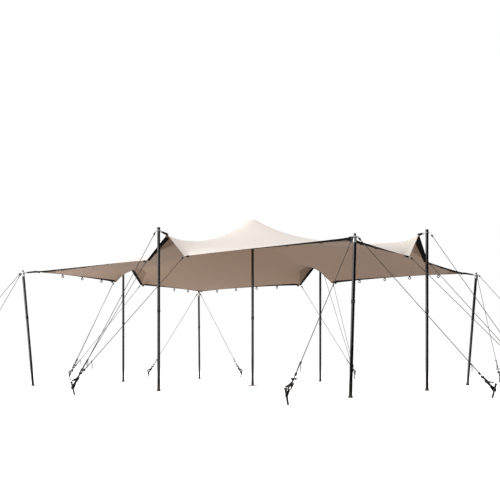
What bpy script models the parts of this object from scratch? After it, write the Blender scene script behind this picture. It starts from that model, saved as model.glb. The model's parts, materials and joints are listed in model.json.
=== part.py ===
"""Stretch tent: one tensioned fabric canopy on nine poles, guyed to twelve ground stakes.

Metres, +Z up. The origin is on the ground under the centre pole. +X runs along the long side,
and the front of the tent faces -Y. The canopy's shape is found as a net in tension between the
points that the poles and guys hold.
"""
import math

import bmesh
import bpy
import numpy as np
from mathutils import Matrix, Vector

# Plan and heights of the poles
SPAN_X = 8.86            # between the feet of the corner poles, along the long side
SPAN_Y = 6.64            # the same, along the short side
SIDE_OFFSET_X = 0.17     # the left and right poles stand this far outside the corner poles' line
SIDE_OFFSET_Y = 0.20     # the same for the front and back poles
CORNER_HEIGHT = 2.91
CORNER_LEAN = 0.247      # how far the head of a corner pole leans out, level, along the diagonal
SIDE_HEIGHT = 3.50
PEAK_HEIGHT = 4.215      # top of the fabric over the centre pole

# Points that hold the canopy
CORNER_TIP_INSET = 0.06  # from the line of the corner poles' feet, inwards
CORNER_TIP_Z = 2.865
GABLE_TIP_INSET = 0.05
GABLE_TIP_Z = 3.43
GABLE_HALF_WIDTH = 0.54  # from a side pole to the eave point on each side of it
EAVE_INSET = 0.01
EAVE_Z = 2.865
DOME_RADIUS = 0.16       # of the rounded head under the peak
DOME_DROP = 0.05         # how far the fabric falls over that radius
DOME_FALL = DOME_DROP / DOME_RADIUS ** 2

# Tension of hem and ridges, against a fabric tension of 1 per metre of width
HEM_TENSION = 15.0
GABLE_HEM_TENSION = 4.0
RIDGE_TENSION = 1.4
GRID_STEP = 0.55         # of the net, away from poles and hems
SHOULDER_LINE = 0.34     # distance from the middle of the net's line between the dome and the gables
HEM_APPROACH = 0.234     # distance from the edge of the net's last even line

# Thicknesses
CANOPY_THICKNESS = 0.006
HEM_WIDTH = 0.09
HEM_THICKNESS = 0.003
SEAT_GAP = 0.0003        # between pieces that touch
OVERLAP = 0.012          # how far one shape runs into another that it is joined to
BELOW_GROUND = 0.03      # of a piece that leans, before it is cut level
CUTTER_DEPTH = 0.4

# Poles
POLE_RADIUS = 0.032
POLE_SIDES = 14
FOOT_RADIUS = 0.042
FOOT_HEIGHT = 0.05
BASE_PLATE_RADIUS = 0.11
BASE_PLATE_HEIGHT = 0.008
COLLAR_RADIUS = 0.0365
COLLAR_HEIGHT = 0.07
COLLAR_Z = 1.72          # middle of the joint between the lower and upper tube
CAP_BEVEL = 0.006
SIDE_CAP_RADIUS = 0.0345
SIDE_CAP_HEIGHT = 0.03
CORNER_CAP_RADIUS = 0.021
CORNER_CAP_HEIGHT = 0.045
SLEEVE_RADIUS = 0.036    # of the steel sleeve on a corner pole's head
SLEEVE_HEIGHT = 0.115

# Domed head of the centre pole, under the fabric
DOME_STEPS = 4
DOME_CLEARANCE = 0.0075  # room for the flat facets of the fabric
DOME_RIM = 0.03          # height of the dome's rim
NECK_RADIUS = 0.045
NECK_DROP = 0.05         # from the rim to the neck
NECK_LENGTH = 0.08

# Links between a pole's head and the fabric
LINK_DROP = 0.075        # of the link under the pole's top
RING_OUTER_RADIUS = 0.058
RING_THICKNESS = 0.008
RING_SIDES = 24
LINK_WIDTH = 0.034
LINK_THICKNESS = 0.006

# Guys and stakes
ROPE_RADIUS = 0.006
STAKE_RADIUS = 0.017
STAKE_SIDES = 10
STAKE_HEIGHT = 0.27
STAKE_LEAN = 0.26        # radians, away from the tent
STAKE_HEAD_RADIUS = 0.027
STAKE_HEAD_HEIGHT = 0.018
STRAP_HEIGHT = 0.15      # of the strap's knot on the stake
STRAP_LENGTH = 0.10
STRAP_WIDTH = 0.035
STRAP_THICKNESS = 0.006
RATCHET_LENGTH = 0.20
RATCHET_WIDTH = 0.06
RATCHET_DEPTH = 0.045
BAR_RADIUS = 0.010
BAR_LENGTH = 0.11
ROPE_SPACING = 0.034     # of the ropes along a ratchet's bar

# Which way each pole lies from the centre
CORNERS = {
    "front_left": (-1, -1),
    "front_right": (1, -1),
    "back_right": (1, 1),
    "back_left": (-1, 1),
}
SIDES = {"front": (0, -1), "right": (1, 0), "back": (0, 1), "left": (-1, 0)}

# Stakes, from the pole's foot: metres outwards along X and outwards along Y
CORNER_STAKES = {
    "front_left": ((2.35, 0.50), (1.15, 2.10)),
    "front_right": ((0.05, 2.20), (2.10, -1.40)),
    "back_right": ((2.40, 0.50), (0.15, 2.40)),
    "back_left": ((2.40, 0.15), (-0.20, 2.05)),
}
# Stakes of the side poles: metres outwards from the pole's foot, and along the side
SIDE_STAKES = {"front": (2.00, -0.35), "right": (2.25, 0.00), "back": (2.25, 0.00), "left": (2.30, 0.00)}

COLOURS = {
    "cream fabric": ((0.80, 0.72, 0.64), 0.85, 0.0),
    "black webbing": ((0.012, 0.012, 0.013), 0.80, 0.0),
    "black coated tube": ((0.016, 0.015, 0.018), 0.35, 0.3),
    "grey rope": ((0.10, 0.10, 0.10), 0.80, 0.0),
    "plated steel": ((0.60, 0.60, 0.60), 0.35, 1.0),
    "black steel": ((0.014, 0.014, 0.015), 0.50, 0.5),
}


def start_scene():
    """Empty the scene and make one collection for the tent and one for its cutters."""
    for item in list(bpy.data.objects):
        bpy.data.objects.remove(item)
    made = []
    for name in ("stretch_tent", "cutters"):
        collection = bpy.data.collections.new(name)
        bpy.context.scene.collection.children.link(collection)
        made.append(collection)
    return made


TENT, CUTTERS = start_scene()


def finish(name):
    """The material of this name, made once."""
    found = bpy.data.materials.get(name)
    if found:
        return found
    colour, roughness, metallic = COLOURS[name]
    made = bpy.data.materials.new(name)
    made.use_nodes = True
    shader = made.node_tree.nodes["Principled BSDF"]
    shader.inputs["Base Color"].default_value = (*colour, 1.0)
    shader.inputs["Roughness"].default_value = roughness
    shader.inputs["Metallic"].default_value = metallic
    return made


def add(name, data, material):
    """An object with this mesh or curve, in the tent's collection."""
    piece = bpy.data.objects.new(name, data)
    data.materials.append(finish(material))
    TENT.objects.link(piece)
    return piece


def as_cutter(piece):
    """Set a piece apart as a cutter or a shape to be joined, which isn't part of the tent."""
    for holder in list(piece.users_collection):
        holder.objects.unlink(piece)
    CUTTERS.objects.link(piece)
    piece.hide_render = True
    piece.display_type = "WIRE"
    return piece


def aim(direction):
    """The rotation that turns +Z to this direction and keeps +X as level as it can be."""
    up = Vector(direction).normalized()
    level = Vector((-up.y, up.x, 0.0))
    across = level.normalized() if level.length > 1e-6 else Vector((1.0, 0.0, 0.0))
    return Matrix((across, up.cross(across), up)).transposed().to_4x4()


def turned(name, profile, material, sides=POLE_SIDES, closed=False):
    """A turned solid from (radius, height) points that run down its outer side."""
    mesh = bpy.data.meshes.new(name)
    points = [(radius, 0.0, height) for radius, height in profile]
    edges = [(at, at + 1) for at in range(len(points) - 1)]
    if closed:
        edges.append((len(points) - 1, 0))
    mesh.from_pydata(points, edges, [])
    piece = add(name, mesh, material)
    screw = piece.modifiers.new("turn", "SCREW")
    screw.steps = sides
    screw.render_steps = sides
    screw.use_merge_vertices = True
    screw.merge_threshold = 1e-5
    return piece


def box(name, size, centre, material):
    """A box of this size about this centre, with its place in its mesh."""
    mesh = bpy.data.meshes.new(name)
    shape = bmesh.new()
    bmesh.ops.create_cube(shape, size=1.0)
    bmesh.ops.scale(shape, vec=size, verts=shape.verts)
    bmesh.ops.translate(shape, vec=centre, verts=shape.verts)
    shape.to_mesh(mesh)
    shape.free()
    return add(name, mesh, material)


def combine(piece, other, operation):
    """Join another solid to a piece, or cut the piece with it."""
    boolean = piece.modifiers.new(operation.lower(), "BOOLEAN")
    boolean.operation = operation
    boolean.object = as_cutter(other)


def trim_at_ground(piece):
    """Cut what reaches below the ground off a piece that leans."""
    name = "below_ground"
    cutter = bpy.data.objects.get(name)
    if cutter is None:
        size = (SPAN_X * 2.0, SPAN_Y * 2.5, CUTTER_DEPTH)
        cutter = box(name, size, (0.0, 0.0, -CUTTER_DEPTH / 2.0), "black steel")
    combine(piece, cutter, "DIFFERENCE")


def half_lines(reach):
    """Lines of the net from the middle out: close at the peak, gable and hem, even between."""
    near = [0.0, DOME_RADIUS / 2.0, DOME_RADIUS, SHOULDER_LINE, GABLE_HALF_WIDTH]
    span = reach - HEM_APPROACH - GABLE_HALF_WIDTH
    steps = round(span / GRID_STEP)
    even = [GABLE_HALF_WIDTH + span * k / steps for k in range(1, steps + 1)]
    return near + even + [reach - HEM_WIDTH, reach]


def net_lines(reach):
    """The net's lines on both sides of the middle."""
    half = half_lines(reach)
    return np.array([-value for value in reversed(half[1:])] + half)


def held_points(x_lines, y_lines):
    """Net points that the poles and guys hold, as (column, row): place."""
    held = {}
    reach_x = SPAN_X / 2.0
    reach_y = SPAN_Y / 2.0
    for i, x in enumerate(x_lines):
        for j, y in enumerate(y_lines):
            if max(abs(x), abs(y)) < DOME_RADIUS + SEAT_GAP:
                held[i, j] = (x, y, PEAK_HEIGHT - DOME_FALL * (x * x + y * y))
    for i in (0, len(x_lines) - 1):
        out = math.copysign(1.0, x_lines[i])
        for j, y in enumerate(y_lines):
            if math.isclose(abs(y), GABLE_HALF_WIDTH):
                held[i, j] = (out * (reach_x - EAVE_INSET), y, EAVE_Z)
            elif y == 0.0:
                held[i, j] = (out * (reach_x - GABLE_TIP_INSET), 0.0, GABLE_TIP_Z)
    for j in (0, len(y_lines) - 1):
        out = math.copysign(1.0, y_lines[j])
        for i, x in enumerate(x_lines):
            if math.isclose(abs(x), GABLE_HALF_WIDTH):
                held[i, j] = (x, out * (reach_y - EAVE_INSET), EAVE_Z)
            elif x == 0.0:
                held[i, j] = (0.0, out * (reach_y - GABLE_TIP_INSET), GABLE_TIP_Z)
            elif i in (0, len(x_lines) - 1):
                held[i, j] = (x, y_lines[j], CORNER_TIP_Z)
    return held


def strip_widths(lines):
    """The width of fabric that each line of the net stands for."""
    before = np.concatenate(([lines[0]], lines[:-1]))
    after = np.concatenate((lines[1:], [lines[-1]]))
    return (after - before) / 2.0


def line_tension(middle, on_hem, on_ridge):
    """Extra tension of a stretch of the net along a hem or a ridge."""
    if on_hem:
        return GABLE_HEM_TENSION if abs(middle) < GABLE_HALF_WIDTH else HEM_TENSION
    return RIDGE_TENSION if on_ridge else 0.0


def find_form():
    """Net of the canopy's top surface in balance, as an array of columns, rows and places."""
    x_lines = net_lines(SPAN_X / 2.0 - CORNER_TIP_INSET)
    y_lines = net_lines(SPAN_Y / 2.0 - CORNER_TIP_INSET)
    columns, rows = len(x_lines), len(y_lines)
    x_widths, y_widths = strip_widths(x_lines), strip_widths(y_lines)
    stiffness = np.zeros((columns * rows, columns * rows))

    def tie(first, second, density):
        stiffness[first, first] += density
        stiffness[second, second] += density
        stiffness[first, second] -= density
        stiffness[second, first] -= density

    for i in range(columns):
        for j in range(rows):
            here = i * rows + j
            if i + 1 < columns:
                middle = (x_lines[i] + x_lines[i + 1]) / 2.0
                pull = y_widths[j] + line_tension(middle, j in (0, rows - 1), y_lines[j] == 0.0)
                tie(here, here + rows, pull / (x_lines[i + 1] - x_lines[i]))
            if j + 1 < rows:
                middle = (y_lines[j] + y_lines[j + 1]) / 2.0
                pull = x_widths[i] + line_tension(middle, i in (0, columns - 1), x_lines[i] == 0.0)
                tie(here, here + 1, pull / (y_lines[j + 1] - y_lines[j]))
    places = np.zeros((columns * rows, 3))
    held = {i * rows + j: place for (i, j), place in held_points(x_lines, y_lines).items()}
    fixed = np.array(sorted(held))
    places[fixed] = [held[at] for at in fixed]
    free = np.setdiff1d(np.arange(columns * rows), fixed)
    load = -stiffness[np.ix_(free, fixed)] @ places[fixed]
    places[free] = np.linalg.solve(stiffness[np.ix_(free, free)], load)
    return places.reshape(columns, rows, 3)


def net_shape(places):
    """A bmesh of the net, in triangles, with the index of its column and row on each vertex."""
    columns, rows = places.shape[:2]
    shape = bmesh.new()
    bmesh.ops.create_grid(shape, x_segments=columns - 1, y_segments=rows - 1, size=1.0)
    column_of = shape.verts.layers.int.new("column")
    row_of = shape.verts.layers.int.new("row")
    for vertex in shape.verts:
        i = round((vertex.co.x + 1.0) / 2.0 * (columns - 1))
        j = round((vertex.co.y + 1.0) / 2.0 * (rows - 1))
        vertex[column_of] = i
        vertex[row_of] = j
        vertex.co = places[i, j]
    bmesh.ops.triangulate(shape, faces=shape.faces, quad_method="SHORT_EDGE")
    shape.normal_update()
    return shape, column_of, row_of


def edge_places(places):
    """Top and underside of the hemmed edge at each point of the net's rim, by column and row."""
    shape, column_of, row_of = net_shape(places)
    depth = CANOPY_THICKNESS + SEAT_GAP + HEM_THICKNESS
    edge = {}
    for vertex in shape.verts:
        if vertex.is_boundary:
            edge[vertex[column_of], vertex[row_of]] = (vertex.co.copy(), vertex.co - vertex.normal * depth)
    shape.free()
    return edge


def edge_at(edge, x, y):
    """Top and underside of the edge at the rim point that is nearest to this place in plan."""
    return min(edge.values(), key=lambda pair: (pair[0].x - x) ** 2 + (pair[0].y - y) ** 2)


def give_thickness(piece, thickness):
    """Thicken a surface downwards, away from its normals."""
    solid = piece.modifiers.new("thickness", "SOLIDIFY")
    solid.thickness = thickness
    solid.offset = -1.0


def make_canopy(places):
    """The fabric, a closed sheet whose top is the net."""
    shape = net_shape(places)[0]
    mesh = bpy.data.meshes.new("canopy")
    shape.to_mesh(mesh)
    shape.free()
    mesh.shade_smooth()
    give_thickness(add("canopy", mesh, "cream fabric"), CANOPY_THICKNESS)


def make_hem(places):
    """The webbing under the edge of the fabric, one closed band all round."""
    shape, column_of, row_of = net_shape(places)
    columns, rows = places.shape[:2]
    normals = {vertex: vertex.normal.copy() for vertex in shape.verts}
    for vertex, normal in normals.items():
        vertex.co -= normal * (CANOPY_THICKNESS + SEAT_GAP)

    def in_strip(face):
        spans = (
            ({vertex[column_of] for vertex in face.verts}, columns - 1),
            ({vertex[row_of] for vertex in face.verts}, rows - 1),
        )
        return any(span <= {0, 1} or span <= {last - 1, last} for span, last in spans)

    inner = [face for face in shape.faces if not in_strip(face)]
    bmesh.ops.delete(shape, geom=inner, context="FACES")
    mesh = bpy.data.meshes.new("hem_webbing")
    shape.to_mesh(mesh)
    shape.free()
    give_thickness(add("hem_webbing", mesh, "black webbing"), HEM_THICKNESS)


def side_head(height):
    """Outline of a side pole's head: a cap on the full tube."""
    return [
        (0.0, height),
        (SIDE_CAP_RADIUS - CAP_BEVEL, height),
        (SIDE_CAP_RADIUS, height - CAP_BEVEL),
        (SIDE_CAP_RADIUS, height - SIDE_CAP_HEIGHT),
        (POLE_RADIUS, height - SIDE_CAP_HEIGHT),
    ]


def corner_head(height):
    """Outline of a corner pole's head: a small cap on a steel sleeve."""
    sleeve_top = height - CORNER_CAP_HEIGHT
    sleeve_end = sleeve_top - SLEEVE_HEIGHT
    return [
        (0.0, height),
        (CORNER_CAP_RADIUS - CAP_BEVEL, height),
        (CORNER_CAP_RADIUS, height - CAP_BEVEL),
        (CORNER_CAP_RADIUS, sleeve_top),
        (SLEEVE_RADIUS, sleeve_top),
        (SLEEVE_RADIUS, sleeve_end),
        (POLE_RADIUS, sleeve_end),
    ]


def tube_and_foot(below):
    """Outline of a pole below its head: tube, collar and foot, with a length below the ground."""
    return [
        (POLE_RADIUS, COLLAR_Z + COLLAR_HEIGHT / 2.0),
        (COLLAR_RADIUS, COLLAR_Z + COLLAR_HEIGHT / 2.0),
        (COLLAR_RADIUS, COLLAR_Z - COLLAR_HEIGHT / 2.0),
        (POLE_RADIUS, COLLAR_Z - COLLAR_HEIGHT / 2.0),
        (POLE_RADIUS, FOOT_HEIGHT),
        (FOOT_RADIUS, FOOT_HEIGHT),
        (FOOT_RADIUS, -below),
        (0.0, -below),
    ]


def centre_profile():
    """Outline of the centre pole: a domed head under the peak, tube, collar and base plate."""
    top = PEAK_HEIGHT - CANOPY_THICKNESS - SEAT_GAP
    dome = [(0.0, top)]
    for k in range(2, DOME_STEPS + 1):
        radius = DOME_RADIUS * k / DOME_STEPS
        dome.append((radius, top - DOME_CLEARANCE - DOME_FALL * radius ** 2))
    rim = dome[-1][1] - DOME_RIM
    neck = rim - NECK_DROP
    return dome + [
        (DOME_RADIUS, rim),
        (NECK_RADIUS, neck),
        (NECK_RADIUS, neck - NECK_LENGTH),
        (POLE_RADIUS, neck - NECK_LENGTH),
        (POLE_RADIUS, COLLAR_Z + COLLAR_HEIGHT / 2.0),
        (COLLAR_RADIUS, COLLAR_Z + COLLAR_HEIGHT / 2.0),
        (COLLAR_RADIUS, COLLAR_Z - COLLAR_HEIGHT / 2.0),
        (POLE_RADIUS, COLLAR_Z - COLLAR_HEIGHT / 2.0),
        (POLE_RADIUS, FOOT_HEIGHT),
        (BASE_PLATE_RADIUS, BASE_PLATE_HEIGHT),
        (BASE_PLATE_RADIUS, 0.0),
        (0.0, 0.0),
    ]


def corner_foot(name):
    """Where the foot of a corner pole stands."""
    sign_x, sign_y = CORNERS[name]
    return Vector((sign_x * SPAN_X / 2.0, sign_y * SPAN_Y / 2.0, 0.0))


def side_foot(name):
    """Where the foot of a side pole stands."""
    sign_x, sign_y = SIDES[name]
    return Vector((
        sign_x * (SPAN_X / 2.0 + SIDE_OFFSET_X),
        sign_y * (SPAN_Y / 2.0 + SIDE_OFFSET_Y),
        0.0,
    ))


def corner_axis(name):
    """Direction of a corner pole from its foot to its head."""
    sign_x, sign_y = CORNERS[name]
    lean = CORNER_LEAN / math.sqrt(2.0)
    return Vector((sign_x * lean, sign_y * lean, CORNER_HEIGHT)).normalized()


def make_poles():
    """The centre pole, four upright side poles and four corner poles that lean out."""
    turned("pole_centre", centre_profile(), "black coated tube")
    for name in SIDES:
        outline = side_head(SIDE_HEIGHT) + tube_and_foot(0.0)
        pole = turned(f"pole_side_{name}", outline, "black coated tube")
        pole.location = side_foot(name)
    for name in CORNERS:
        axis = corner_axis(name)
        length = CORNER_HEIGHT / axis.z
        outline = corner_head(length) + tube_and_foot(BELOW_GROUND)
        pole = turned(f"pole_corner_{name}", outline, "black coated tube")
        pole.matrix_world = Matrix.Translation(corner_foot(name)) @ aim(axis)
        trim_at_ground(pole)


def link_centre(foot, axis, height):
    """The point on a pole's axis where the link ring sits."""
    return foot + axis * (height / axis.z - LINK_DROP)


def make_link(name, centre, axis, tip, held):
    """A steel ring on a pole's head of this radius, with a strap that reaches the tip of the fabric."""
    inner = (held + SEAT_GAP) / math.cos(math.pi / RING_SIDES)
    half = RING_THICKNESS / 2.0
    rim = [(RING_OUTER_RADIUS, half), (RING_OUTER_RADIUS, -half), (inner, -half), (inner, half)]
    ring = turned(f"link_{name}", rim, "plated steel", RING_SIDES, closed=True)
    ring.matrix_world = Matrix.Translation(centre) @ aim(axis)
    top, underside = tip
    direction = ((top + underside) / 2.0 - centre).normalized()
    start = RING_OUTER_RADIUS - OVERLAP
    end = min((place - centre).dot(direction) for place in tip) - SEAT_GAP
    size = (LINK_WIDTH, LINK_THICKNESS, end - start)
    strap = box(f"link_{name}_strap", size, (0.0, 0.0, (start + end) / 2.0), "plated steel")
    strap.matrix_world = Matrix.Translation(centre) @ aim(direction)
    combine(ring, strap, "UNION")


def make_links(edge):
    """A link at the head of each outer pole."""
    for name, (sign_x, sign_y) in CORNERS.items():
        tip = edge_at(edge, sign_x * SPAN_X / 2.0, sign_y * SPAN_Y / 2.0)
        axis = corner_axis(name)
        make_link(name, link_centre(corner_foot(name), axis, CORNER_HEIGHT), axis, tip, SLEEVE_RADIUS)
    up = Vector((0.0, 0.0, 1.0))
    for name, (sign_x, sign_y) in SIDES.items():
        tip = edge_at(edge, sign_x * SPAN_X / 2.0, sign_y * SPAN_Y / 2.0)
        make_link(name, link_centre(side_foot(name), up, SIDE_HEIGHT), up, tip, POLE_RADIUS)


def make_anchor(name, foot, aim_point):
    """A stake that leans away from the tent, and the strap and ratchet that take the guys.

    Returns the left, middle and right seats of the ropes on the ratchet's bar, and the way it faces.
    """
    pull = aim_point - foot
    away = Vector((-pull.x, -pull.y, 0.0)).normalized()
    lean = away * math.sin(STAKE_LEAN) + Vector((0.0, 0.0, math.cos(STAKE_LEAN)))
    outline = [
        (0.0, STAKE_HEIGHT),
        (STAKE_HEAD_RADIUS, STAKE_HEIGHT),
        (STAKE_HEAD_RADIUS, STAKE_HEIGHT - STAKE_HEAD_HEIGHT),
        (STAKE_RADIUS, STAKE_HEIGHT - STAKE_HEAD_HEIGHT),
        (STAKE_RADIUS, -BELOW_GROUND),
        (0.0, -BELOW_GROUND),
    ]
    stake = turned(name, outline, "black steel", STAKE_SIDES)
    stake.matrix_world = Matrix.Translation(foot) @ aim(lean)
    knot = foot + lean * STRAP_HEIGHT
    direction = (aim_point - knot).normalized()
    place = Matrix.Translation(knot) @ aim(direction)
    ratchet_start = STAKE_RADIUS + STRAP_LENGTH
    ratchet_end = ratchet_start + RATCHET_LENGTH
    pieces = [
        ("strap", (STRAP_WIDTH, STRAP_THICKNESS, ratchet_start + 2.0 * OVERLAP), ratchet_start / 2.0),
        ("ratchet", (RATCHET_WIDTH, RATCHET_DEPTH, RATCHET_LENGTH), (ratchet_start + ratchet_end) / 2.0),
        ("bar", (BAR_LENGTH, BAR_RADIUS * 2.0, BAR_RADIUS * 2.0), ratchet_end),
    ]
    for kind, size, middle in pieces:
        piece = box(f"{name}_{kind}", size, (0.0, 0.0, middle), "black steel")
        piece.matrix_world = place
        combine(stake, piece, "UNION")
    trim_at_ground(stake)
    top = ratchet_end + BAR_RADIUS
    return [place @ Vector((k * ROPE_SPACING, 0.0, top)) for k in (-1, 0, 1)], direction


def make_guy(name, upper, lower):
    """A taut rope between two points, its ends cut square."""
    curve = bpy.data.curves.new(name, "CURVE")
    curve.dimensions = "3D"
    curve.bevel_depth = ROPE_RADIUS
    curve.bevel_resolution = 2
    curve.use_fill_caps = True
    spline = curve.splines.new("POLY")
    spline.points.add(1)
    spline.points[0].co = (*upper, 1.0)
    spline.points[1].co = (*lower, 1.0)
    add(name, curve, "grey rope")


def off_face(seat, normal, towards):
    """Where the square end of a rope that runs towards a point just clears the face at its seat."""
    run = (towards - seat).normalized()
    return seat + normal * (ROPE_RADIUS * math.sqrt(1.0 - run.dot(normal) ** 2) + SEAT_GAP)


def off_ring(centre, towards):
    """The same, on the rim of a link ring, at the side that faces the point."""
    level = Vector((towards.x - centre.x, towards.y - centre.y, 0.0)).normalized()
    return off_face(centre + level * RING_OUTER_RADIUS, level, towards)


def make_corner_guys():
    """Two guys from the head of each corner pole, each to its own stake."""
    for name, (sign_x, sign_y) in CORNERS.items():
        foot = corner_foot(name)
        centre = link_centre(foot, corner_axis(name), CORNER_HEIGHT)
        for number, (out_x, out_y) in enumerate(CORNER_STAKES[name], start=1):
            stake = foot + Vector((sign_x * out_x, sign_y * out_y, 0.0))
            seats, facing = make_anchor(f"anchor_{name}_{number}", stake, centre)
            upper = off_ring(centre, seats[1])
            make_guy(f"guy_{name}_{number}", upper, off_face(seats[1], facing, upper))


def make_side_guys(edge):
    """Three guys at each side pole, from its head and the two eave points, to one stake."""
    up = Vector((0.0, 0.0, 1.0))
    for name, (sign_x, sign_y) in SIDES.items():
        foot = side_foot(name)
        outwards = Vector((sign_x, sign_y, 0.0))
        along = up.cross(outwards)
        out, shift = SIDE_STAKES[name]
        direction = 1.0 if along.x + along.y > 0.0 else -1.0
        stake = foot + outwards * out + along * direction * shift
        centre = link_centre(foot, up, SIDE_HEIGHT)
        seats, facing = make_anchor(f"anchor_{name}", stake, centre)
        upper = off_ring(centre, seats[1])
        make_guy(f"guy_{name}_top", upper, off_face(seats[1], facing, upper))
        reach = outwards * (abs(sign_x) * SPAN_X + abs(sign_y) * SPAN_Y) / 2.0
        eaves = [reach + along * way * GABLE_HALF_WIDTH for way in (-1.0, 1.0)]
        eaves.sort(key=lambda place: place.dot(seats[2] - seats[0]))
        for number, (place, seat) in enumerate(zip(eaves, (seats[0], seats[2])), start=1):
            top, underside = edge_at(edge, place.x, place.y)
            rim = (top + underside) / 2.0
            rim += outwards * (max(top.dot(outwards), underside.dot(outwards)) - rim.dot(outwards))
            upper = off_face(rim, outwards, seat)
            make_guy(f"guy_{name}_eave_{number}", upper, off_face(seat, facing, upper))


net = find_form()
rim_places = edge_places(net)
make_canopy(net)
make_hem(net)
make_poles()
make_links(rim_places)
make_corner_guys()
make_side_guys(rim_places)
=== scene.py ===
"""Looks of a stretch tent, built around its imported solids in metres, +Z up.

The canopy is settled again as a fine net in tension between the points that the poles hold. Poles,
links, ropes and anchors take their places from the solids' own ends and faces.
"""
from __future__ import annotations

import json
import logging
import math
from dataclasses import dataclass, field
from enum import Enum
from typing import Callable, Sequence

import bmesh
import bpy
import numpy as np
from mathutils import Matrix, Vector

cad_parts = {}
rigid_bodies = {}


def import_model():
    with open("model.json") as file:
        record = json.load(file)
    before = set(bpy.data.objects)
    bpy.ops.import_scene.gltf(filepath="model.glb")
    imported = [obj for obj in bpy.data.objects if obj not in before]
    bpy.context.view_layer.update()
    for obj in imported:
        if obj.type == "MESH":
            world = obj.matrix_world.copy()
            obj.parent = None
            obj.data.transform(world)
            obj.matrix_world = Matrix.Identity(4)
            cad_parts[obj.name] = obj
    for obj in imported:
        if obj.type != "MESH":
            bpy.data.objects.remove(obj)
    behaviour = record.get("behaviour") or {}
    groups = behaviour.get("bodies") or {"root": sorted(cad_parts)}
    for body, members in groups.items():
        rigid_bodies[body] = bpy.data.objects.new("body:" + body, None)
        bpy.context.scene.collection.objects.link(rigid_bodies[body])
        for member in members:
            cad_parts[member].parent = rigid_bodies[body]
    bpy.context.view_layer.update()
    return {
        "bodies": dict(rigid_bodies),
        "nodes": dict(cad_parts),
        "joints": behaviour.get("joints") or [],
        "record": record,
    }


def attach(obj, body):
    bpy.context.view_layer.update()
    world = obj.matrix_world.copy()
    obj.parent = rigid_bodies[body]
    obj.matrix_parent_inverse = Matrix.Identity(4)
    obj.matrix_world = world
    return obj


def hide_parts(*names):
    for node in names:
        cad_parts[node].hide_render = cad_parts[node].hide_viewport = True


LOG = logging.getLogger("stretch_tent")
UP = Vector((0.0, 0.0, 1.0))
CORNERS = {
    "front_left": (-1, -1),
    "front_right": (1, -1),
    "back_right": (1, 1),
    "back_left": (-1, 1),
}
SIDES = {"front": (0, -1), "right": (1, 0), "back": (0, 1), "left": (-1, 0)}


class Space(Enum):
    """Where a pattern takes its coordinates from."""

    OBJECT = "Object"
    SURFACE = "UV"


class Slot(Enum):
    """Material slots of the record."""

    CANOPY = "canopy"
    WEBBING = "webbing"
    POLE = "pole"
    LINK = "link"
    ROPE = "rope"
    ANCHOR = "anchor"


# Drawing of materials


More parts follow.
